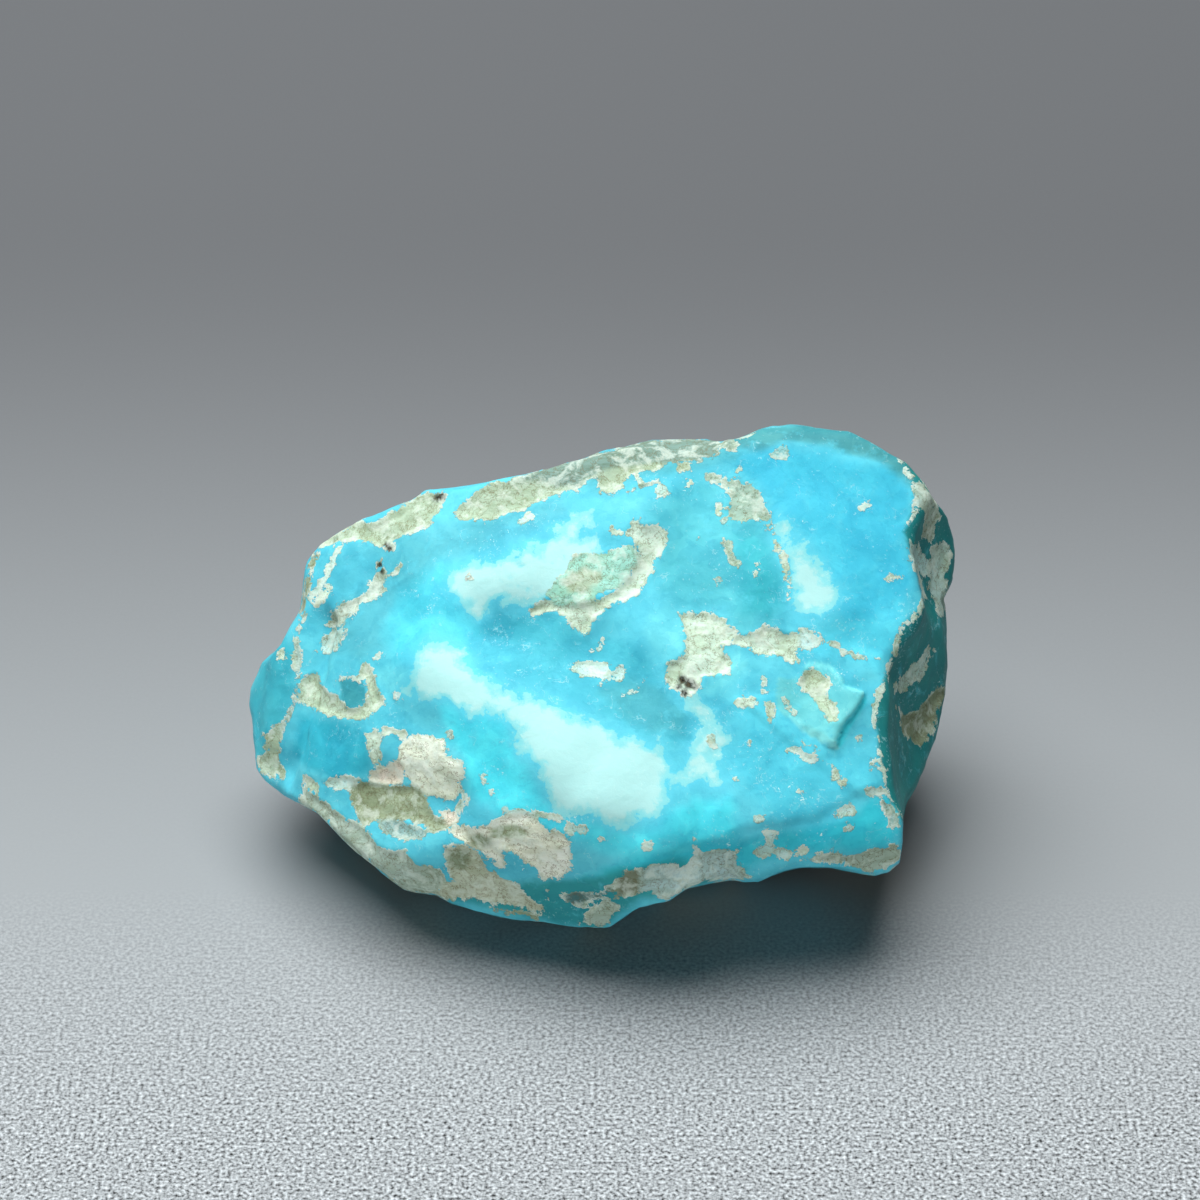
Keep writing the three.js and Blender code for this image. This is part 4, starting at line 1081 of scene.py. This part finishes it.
# Small ledges: the edge, and places behind it on the side that stands proud
ledges = {
    "lipStep": {"height": 0.12, "fade": 1.6, "soft": 0.25, "edge": [
        (1.8, -9.7), (3.2, -9.1), (4.5, -8.6), (5.6, -8.3), (6.1, -8.2), (6.8, -7.8), (7.2, -7.7),
        (8.2, -7.5), (9.0, -7.5), (10.0, -7.2), (10.8, -7.2), (11.5, -6.7), (12.5, -6.2),
        (13.1, -5.8), (14.1, -5.6),
    ], "behind": [
        (13.9, -1.2), (8.0, -2.2), (2.0, -6.2),
    ]},
    "crestStep": {"height": 0.1, "fade": 1.2, "soft": 0.1, "edge": [
        (6.1, 11.6), (7.2, 11.8), (9.2, 11.7), (11.5, 11.6), (12.5, 10.9), (14.0, 10.7),
        (14.9, 10.6),
    ], "behind": [
        (14.5, 8.8), (10.0, 8.8), (6.8, 10.2),
    ]},
    "leftShelfStep": {"height": 0.08, "fade": 1.2, "soft": 0.1, "edge": [
        (-14.8, -5.0), (-13.8, -5.3), (-12.8, -5.1), (-11.9, -5.3), (-11.1, -5.5),
    ], "behind": [
        (-11.1, -3.2), (-14.5, -3.2),
    ]},
    "rightFacetStep": {"height": 0.1, "fade": 1.0, "soft": 0.08, "edge": [
        (6.8, -1.2), (7.9, -2.0), (9.5, -3.4), (10.9, -4.3), (12.1, -5.5), (13.4, -6.2),
    ], "behind": [
        (13.5, -4.2), (10.0, -0.8),
    ]},
}

# Fine relief, millimetres.  Rock lumps: height, size, seed, how far inside the rock they are full.
# Chips and unevenness: height, size, seed.  Calm places are smoother: right, up, reach
relief = {
    "rockLumps": ((0.07, 0.8, 51, 0.4), (0.04, 0.32, 52, 0.2)),
    "rim": {"height": 0.02, "inside": -0.06, "width": 0.12},
    "chips": ((0.06, 2.6, 61), (0.03, 1.1, 62)),
    "chipSpots": 6000,    # of the skin's points, tried in turn as a chip's middle
    "unevenness": ((0.03, 2.0, 90), (0.022, 0.9, 79), (0.014, 0.45, 74)),
    "calmPlaces": ((-6.0, -1.0, 5.0), (-1.0, -3.0, 5.0), (0.0, 4.0, 5.0), (11.0, 5.5, 3.5)),
    "calm": 0.75,
    "footFade": 0.7,      # relief ends at the floor over this height
}


def chipHeights(points, size, seed):    # small broken facets, each tilted its own way
    random = np.random.default_rng(seed)
    centres = []
    for spot in points[random.permutation(len(points))[:relief["chipSpots"]]]:
        if not centres or np.min(np.sum((np.array(centres) - spot) ** 2, axis=1)) > size**2:
            centres.append(spot)
    centres = np.array(centres)
    tilts = unit(random.normal(size=centres.shape)) * random.uniform(0.2, 1, (len(centres), 1))
    lifts = random.uniform(-0.4, 0.4, len(centres))
    heights = np.zeros(len(points))
    batch = 8192    # points worked out at once, to spare memory
    for start in range(0, len(points), batch):
        some = slice(start, start + batch)
        away = points[some, None] - centres[None]
        distance = np.linalg.norm(away, axis=2)
        weight = np.exp(-(distance - distance.min(1, keepdims=True)) / (0.05 * size))
        plane = lifts + np.einsum("ijk,jk->ij", away, tilts) / size
        heights[some] = (weight * plane).sum(1) / weight.sum(1)
    return heights


def rockHeights(points, rock, sunk):
    height = -sunk * smoothStep(rock, -0.03, 0.22)
    for amount, size, seed, full in relief["rockLumps"]:
        height += amount * lumps(points, size, seed) * smoothStep(rock, 0, full)
    rim = relief["rim"]
    return height + rim["height"] * np.exp(-(((rock - rim["inside"]) / rim["width"]) ** 2))


def stepHeights(places):    # the flake and the ledges
    proud = insideOutline(places, flake["outline"])
    across = places @ np.array(flake["thickSide"]) / np.linalg.norm(flake["thickSide"])
    share = smoothStep(across, flake["thinFrom"], flake["thickFrom"])
    height = flake["thickness"] * share * smoothStep(proud, -flake["soft"], flake["soft"])
    for ledge in ledges.values():
        proud = insideOutline(places, ledge["edge"] + ledge["behind"])
        near = np.exp(-((awayFromPath(places, ledge["edge"]) / ledge["fade"]) ** 2))
        height += ledge["height"] * near * smoothStep(proud, -ledge["soft"], ledge["soft"])
    return height


def reliefHeights(points, rock, sunk, places, seen):
    height = rockHeights(points, rock, sunk) + seen * stepHeights(places)
    calm = np.zeros(len(points))
    for right, up, reach in relief["calmPlaces"]:
        calm = np.maximum(calm, np.exp(-np.sum(((places - (right, up)) / reach) ** 2, axis=1)))
    rough = 1 - relief["calm"] * calm * seen
    for amount, size, seed in relief["chips"]:
        height += amount * chipHeights(points, size, seed) * rough
    height += lumpSum(points, relief["unevenness"]) * (0.4 + 0.6 * rough)
    ground = points[:, 2] + stone["middleHeight"]
    return height * smoothStep(ground, 0.0, relief["footFade"])


def meshOf(name, points, quads, amounts, tints):    # amounts and tints become point attributes
    mesh = bpy.data.meshes.new(name)
    mesh.vertices.add(len(points))
    mesh.vertices.foreach_set("co", points.ravel())
    mesh.loops.add(quads.size)
    mesh.loops.foreach_set("vertex_index", quads.ravel())
    mesh.polygons.add(len(quads))
    mesh.polygons.foreach_set("loop_start", np.arange(0, quads.size, 4))
    mesh.update(calc_edges=True)
    mesh.validate()
    mesh.polygons.foreach_set("use_smooth", np.ones(len(quads), bool))
    for attribute, values in amounts.items():
        data = mesh.attributes.new(attribute, "FLOAT", "POINT").data
        data.foreach_set("value", values.astype("f4"))
    for attribute, values in tints.items():
        data = mesh.attributes.new(attribute, "FLOAT_COLOR", "POINT").data
        opaque = np.hstack([values, np.ones((len(values), 1))])
        data.foreach_set("color", opaque.astype("f4").ravel())
    return mesh


def makeStone():
    solid = stonePoints(boxSkin(stone["solidDivisions"])[0])
    middle = (solid.min(0) + solid.max(0)) / 2
    shift = np.array([-middle[0], -middle[1], stone["middleHeight"]])
    directions, quads = boxSkin(stone["divisions"])
    points = stonePoints(directions)
    normals = pointNormals(points, quads)
    places, seen = frontPlaces(points, normals)
    rock, rockTint, sunk = hostRockOf(points, places, seen)
    milkAndHighlight = milkAndHighlightOf(points, places, seen)
    turquoiseTint = turquoiseTintOf(points, places, seen, milkAndHighlight)
    height = reliefHeights(points, rock, sunk, places, seen)
    points = points + normals * height[:, None]
    points[:, 2] = np.maximum(points[:, 2], -stone["middleHeight"])

    # The milky-zone attribute also carries the painted highlights; the two tints carry some painted
    # shade and painted light
    mesh = meshOf(
        "turquoiseNugget", (points + shift) * metresPerMillimetre, quads,
        {"rock": rock, "milkAndHighlight": milkAndHighlight}, {"rockTint": rockTint, "turquoiseTint": turquoiseTint},
    )
    nugget = bpy.data.objects.new("turquoiseNugget", mesh)
    bpy.context.scene.collection.objects.link(nugget)
    print(f"stone: {len(points)} points, {len(quads)} faces")
    return nugget, shift


def addNode(tree, kind, inputs=(), output=0, **settings):    # gives back the output asked for
    node = tree.nodes.new(kind)
    for name, value in settings.items():
        setattr(node, name, value)
    for name, value in dict(inputs).items():
        if isinstance(value, bpy.types.NodeSocket):
            tree.links.new(value, node.inputs[name])
        else:
            node.inputs[name].default_value = value
    return node.outputs[output] if node.outputs else node


def colourOf(hexColour):
    return (*linearColour(hexColour), 1)


# Patterns of the stone.  noise: size in millimetres, detail, roughness, distortion, stretch;
# facets: size, their edges wandering; sums: parts and amounts; lines: where a pattern is within a
# width of a value; products: of two patterns
patterns = {
    "noise": {
        "clouds": (2.6, 3.0, 0.5, 0.0, (1, 1, 1)),
        "mottles": (0.8, 5.0, 0.65, 0.3, (1, 1, 1)),
        "ragged": (0.4, 5.0, 0.7, 0.4, (1, 1, 1)),
        "grain": (0.15, 3.0, 0.6, 0.0, (1, 1, 1)),
        "specks": (0.26, 2.0, 0.5, 1.2, (1, 1, 1)),
        "streaks": (0.5, 5.0, 0.65, 0.4, (0.35, 1.4, 1.4)),
        "cracking": (2.2, 4.0, 0.6, 0.0, (1, 1, 1)),
    },
    "facets": {"facets": 1.3, "smallFacets": 0.5},
    "wander": {"Scale": 1.2, "Detail": 3.0},
    "sums": {
        "rockEdge": (("rock", 1.0), ("mottles", 0.4), ("ragged", 0.7), ("grain", 0.3)),
        "milkAndHighlightEdge": (("milkAndHighlight", 1.0), ("mottles", 1.0), ("ragged", 0.7), ("grain", 0.15)),
        "speckClusters": (("specks", 1.0), ("clouds", 0.6), ("mottles", 0.3)),
        "grainClusters": (("grain", 1.0), ("clouds", 0.5)),
        "rockTooth": (("grain", 0.05), ("ragged", 0.04)),
        "turquoiseTooth": (("mottles", 0.04), ("ragged", 0.015)),
    },
    "lines": {
        "cracks": ("cracking", 0.5, 0.004),
        "crevices": ("mottles", 0.47, 0.01),
        "rim": ("rockEdge", 0.69, 0.03),
    },
    "products": {"brokenCracks": ("cracks", "mottles"), "brokenRim": ("rim", "mottles")},
}

# Layers: pattern, its value where the layer begins and is full, least and most share, colour, blend
turquoiseFinish = {
    "roughness": 0.6,
    "layers": (
        ("facets", 0.0, 1.0, 0.0, 0.3, "#A8DCEA", "MULTIPLY"),
        ("smallFacets", 0.0, 1.0, 0.0, 0.22, "#A8DCEA", "MULTIPLY"),
        ("clouds", 0.42, 0.62, 0.0, 0.4, "#9AD4DE", "MULTIPLY"),
        ("mottles", 0.52, 0.7, 0.0, 0.4, "#62D6E8", "MIX"),
        ("ragged", 0.5, 0.72, 0.0, 0.3, "#9AD2E2", "MULTIPLY"),
        # These three layers paint the milky zones pale, and on the front the painted highlights
        ("milkAndHighlightEdge", 0.5, 0.95, 0.0, 0.5, "#64D6EA", "MIX"),
        ("milkAndHighlightEdge", 0.9, 1.04, 0.0, 1.0, "#8ADFE4", "MIX"),
        ("milkAndHighlightEdge", 1.1, 1.5, 0.0, 1.0, "#B2E8E6", "MIX"),
        ("speckClusters", 1.24, 1.3, 0.0, 0.8, "#D4F6F2", "MIX"),
        ("grainClusters", 0.92, 0.98, 0.0, 0.35, "#B4ECEE", "MIX"),
        ("brokenCracks", 0.45, 0.65, 0.0, 0.25, "#D4F6F2", "MIX"),
    ),
}

rockFinish = {
    "roughness": 0.85,
    "edge": (0.64, 0.68),
    "layers": (
        ("clouds", 0.45, 0.62, 0.0, 0.3, "#CCCCB0", "MULTIPLY"),
        ("streaks", 0.35, 0.6, 0.35, 0.0, "#BCBE9E", "MULTIPLY"),
        ("mottles", 0.48, 0.62, 0.0, 0.5, "#E4F2E6", "MIX"),
        ("ragged", 0.54, 0.66, 0.0, 0.35, "#B0B290", "MULTIPLY"),
        ("grain", 0.56, 0.72, 0.0, 0.2, "#9A9C7C", "MULTIPLY"),
        ("crevices", 0.35, 0.55, 0.0, 0.6, "#766A4A", "MIX"),
    ),
    "edgeLayers": (("brokenRim", 0.42, 0.55, 0.0, 0.6, "#E0F2EA", "MIX"),),
}

# Both minerals: turquoise's index, its gloss dulled by the breaks, light going in 0.4 mm
stoneTooth = {"Strength": 0.7, "Distance": 0.001}
stoneGloss = {
    "IOR": 1.61,
    "Specular IOR Level": 0.15,
    "Subsurface Weight": 0.1,
    "Subsurface Radius": (0.5, 0.9, 1.0),
    "Subsurface Scale": 0.0004,
}


def texturesOf(tree):    # every pattern of the stone, sizes in millimetres
    place = addNode(tree, "ShaderNodeTexCoord", output="Object")
    perMm = addNode(tree, "ShaderNodeMapping", {"Vector": place, "Scale": (1000, 1000, 1000)})
    textures = {}
    for name, pattern in patterns["noise"].items():
        size, detail, roughness, distortion, stretch = pattern
        vector = addNode(tree, "ShaderNodeMapping", {"Vector": perMm, "Scale": stretch})
        textures[name] = addNode(
            tree, "ShaderNodeTexNoise",
            {"Vector": vector, "Scale": 1 / size, "Detail": detail, "Roughness": roughness,
             "Distortion": distortion},
        )
    wander = addNode(
        tree, "ShaderNodeTexNoise", {"Vector": perMm, **patterns["wander"]}, output="Color"
    )
    wandered = addNode(tree, "ShaderNodeVectorMath", {0: perMm, 1: wander}, operation="ADD")
    for name, size in patterns["facets"].items():
        facets = addNode(
            tree, "ShaderNodeTexVoronoi", {"Vector": wandered, "Scale": 1 / size}, output="Color"
        )
        textures[name] = addNode(tree, "ShaderNodeSeparateColor", {0: facets})
    for name in ("rock", "milkAndHighlight"):
        textures[name] = addNode(tree, "ShaderNodeAttribute", output="Fac", attribute_name=name)
    for name, parts in patterns["sums"].items():
        total = 0.0
        for part, amount in parts:
            total = addNode(
                tree, "ShaderNodeMath", {0: textures[part], 1: amount, 2: total},
                operation="MULTIPLY_ADD",
            )
        textures[name] = total
    for name, (part, middle, width) in patterns["lines"].items():
        textures[name] = addNode(
            tree, "ShaderNodeMath", {0: textures[part], 1: middle, 2: width}, operation="COMPARE"
        )
    for name, (first, second) in patterns["products"].items():
        textures[name] = addNode(
            tree, "ShaderNodeMath", {0: textures[first], 1: textures[second]}, operation="MULTIPLY"
        )
    return textures


# Of a Mix node's sockets, 0 is the share, 2 and 3 take numbers, 6 and 7 colours
def addLayers(tree, colour, textures, layers):    # each layer shows where its pattern is strong
    for pattern, low, high, least, most, tint, blend in layers:
        share = addNode(
            tree, "ShaderNodeMapRange",
            {"Value": textures[pattern], "From Min": low, "From Max": high, "To Min": least,
             "To Max": most},
            interpolation_type="SMOOTHSTEP",
        )
        colour = addNode(
            tree, "ShaderNodeMix", {0: share, 6: colour, 7: colourOf(tint)}, output=2,
            data_type="RGBA", blend_type=blend,
        )
    return colour


def makeStoneMaterial():
    # Turquoise, a waxy fine-grained copper mineral, broken and not polished: soft gloss, clouds of
    # milky and deeper blue, some of them painted highlights and painted shade.  Its host rock:
    # dull, chalky, tan to grey-green, with white edges.
    material = bpy.data.materials.new("rawTurquoiseInHostRock")
    material.use_nodes = True
    tree = material.node_tree
    tree.nodes.clear()
    textures = texturesOf(tree)
    turquoise, rock = (
        addNode(tree, "ShaderNodeAttribute", output="Color", attribute_name=name)
        for name in ("turquoiseTint", "rockTint")
    )
    turquoise = addLayers(tree, turquoise, textures, turquoiseFinish["layers"])
    rock = addLayers(tree, rock, textures, rockFinish["layers"])
    rockMask = addNode(
        tree, "ShaderNodeMapRange",
        {"Value": textures["rockEdge"], "From Min": rockFinish["edge"][0],
         "From Max": rockFinish["edge"][1]},
    )
    colour = addNode(
        tree, "ShaderNodeMix", {0: rockMask, 6: turquoise, 7: rock}, output=2, data_type="RGBA"
    )
    colour = addLayers(tree, colour, textures, rockFinish["edgeLayers"])
    roughness = addNode(
        tree, "ShaderNodeMix",
        {0: rockMask, 2: turquoiseFinish["roughness"], 3: rockFinish["roughness"]},
    )
    height = addNode(
        tree, "ShaderNodeMath",
        {0: textures["rockTooth"], 1: rockMask, 2: textures["turquoiseTooth"]},
        operation="MULTIPLY_ADD",
    )
    normal = addNode(tree, "ShaderNodeBump", {"Height": height, **stoneTooth})
    shader = addNode(
        tree, "ShaderNodeBsdfPrincipled",
        {"Base Color": colour, "Roughness": roughness, "Normal": normal, **stoneGloss},
    )
    addNode(tree, "ShaderNodeOutputMaterial", {"Surface": shader})
    print(f"stone material: {len(tree.nodes)} nodes")
    return material


# Lengths in metres, lights in watts.  The floor darkens away from the eye, a painted fall-off of
# light, and its tooth shows nearer to it, each from one place along it to the next.
studio = {
    "floorSize": 3.0,
    "floorNear": "#9BA1A4",
    "floorFar": "#5A5D60",
    "darkens": (-0.025, 0.06),
    "grainShows": (-0.004, -0.022),
    "grainEnds": (-0.045, -0.09),
    "grain": (0.03, 2.3),       # least and most
    "grainPerMetre": 5500.0,
    "floorRoughness": 0.85,
    "roomColour": (0.95, 0.98, 1.0),
    "roomStrength": 0.02,
    "lights": {
        "overheadSoftbox": {
            "at": (-0.07, 0.1, 0.4), "towards": (0, 0, 0), "size": (0.42, 0.42),
            "power": 3.5, "colour": (1, 1, 1),
        },
        "lowFrontFill": {
            "at": (-0.08, -0.5, 0.09), "towards": (0, 0, 0.008), "size": (0.3, 0.14),
            "power": 0.6, "colour": (1, 1, 1),
        },
    },
}


def makeFloor():
    mesh = bpy.data.meshes.new("floor")
    half = studio["floorSize"] / 2
    corners = [(-half, -half, 0), (half, -half, 0), (half, half, 0), (-half, half, 0)]
    mesh.from_pydata(corners, [], [(0, 1, 2, 3)])
    floor = bpy.data.objects.new("floor", mesh)
    bpy.context.scene.collection.objects.link(floor)
    material = bpy.data.materials.new("palePaperFloor")    # matt grey card with a fine tooth
    material.use_nodes = True
    tree = material.node_tree
    tree.nodes.clear()
    place = addNode(tree, "ShaderNodeTexCoord", output="Object")
    along = addNode(tree, "ShaderNodeSeparateXYZ", {0: place}, "Y")
    # Painted fall-off of light: the floor darkens away from the eye
    fade = addNode(
        tree, "ShaderNodeMapRange",
        {"Value": along, "From Min": studio["darkens"][0], "From Max": studio["darkens"][1]},
        interpolation_type="SMOOTHSTEP",
    )
    paper = addNode(
        tree, "ShaderNodeMix",
        {0: fade, 6: colourOf(studio["floorNear"]), 7: colourOf(studio["floorFar"])}, output=2,
        data_type="RGBA",
    )
    starts = addNode(
        tree, "ShaderNodeMapRange",
        {"Value": along, "From Min": studio["grainShows"][0], "From Max": studio["grainShows"][1],
         "To Min": studio["grain"][0], "To Max": studio["grain"][1]},
    )
    ends = addNode(
        tree, "ShaderNodeMapRange",
        {"Value": along, "From Min": studio["grainEnds"][1], "From Max": studio["grainEnds"][0]},
    )
    grain = addNode(tree, "ShaderNodeMath", {0: starts, 1: ends}, operation="MULTIPLY")
    tooth = addNode(
        tree, "ShaderNodeTexNoise",
        {"Vector": place, "Scale": studio["grainPerMetre"], "Detail": 2.0},
    )
    speckle = addNode(
        tree, "ShaderNodeMapRange",
        {"Value": tooth, "From Min": 0.25, "From Max": 0.75, "To Min": -0.5, "To Max": 0.5},
    )
    speckled = addNode(
        tree, "ShaderNodeMath", {0: speckle, 1: grain, 2: 1.0}, operation="MULTIPLY_ADD"
    )
    tinted = addNode(tree, "ShaderNodeVectorMath", {0: paper, 3: speckled}, operation="SCALE")
    shader = addNode(
        tree, "ShaderNodeBsdfPrincipled",
        {"Base Color": tinted, "Roughness": studio["floorRoughness"]},
    )
    addNode(tree, "ShaderNodeOutputMaterial", {"Surface": shader})
    floor.data.materials.append(material)


def makeLights():
    for name, light in studio["lights"].items():
        data = bpy.data.lights.new(name, "AREA")
        data.shape = "RECTANGLE"
        data.size, data.size_y = light["size"]
        data.energy = light["power"]
        data.color = light["colour"]
        lamp = bpy.data.objects.new(name, data)
        lamp.location = light["at"]
        aim = Vector(light["towards"]) - lamp.location
        lamp.rotation_euler = aim.to_track_quat("-Z", "Y").to_euler()
        bpy.context.scene.collection.objects.link(lamp)
    world = bpy.data.worlds.new("softRoom")
    world.use_nodes = True
    background = world.node_tree.nodes["Background"]
    background.inputs["Color"].default_value = (*studio["roomColour"], 1)
    background.inputs["Strength"].default_value = studio["roomStrength"]
    bpy.context.scene.world = world
    bpy.context.scene.view_settings.view_transform = "Standard"


def makeCamera(shift):
    data = bpy.data.cameras.new("sightCamera")
    data.sensor_width = 36    # millimetres, as on a full-frame camera
    data.lens = data.sensor_width * sight["distance"] / sight["frameWidth"]
    data.clip_start, data.clip_end = 0.01, 10
    camera = bpy.data.objects.new("sightCamera", data)
    middle, out, up = (Vector(way * metresPerMillimetre) for way in (shift, outWay, upWay))
    camera.location = middle + out * sight["distance"]
    centre = middle + up * sight["middleBelowCentre"]
    camera.rotation_euler = (centre - camera.location).to_track_quat("-Z", "Y").to_euler()
    bpy.context.scene.collection.objects.link(camera)
    bpy.context.scene.camera = camera


nugget, shift = makeStone()
nugget.data.materials.append(makeStoneMaterial())
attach(nugget, "root")
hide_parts("turquoise_nugget")
makeFloor()
makeLights()
makeCamera(shift)
print("floor, lights and camera are in place")
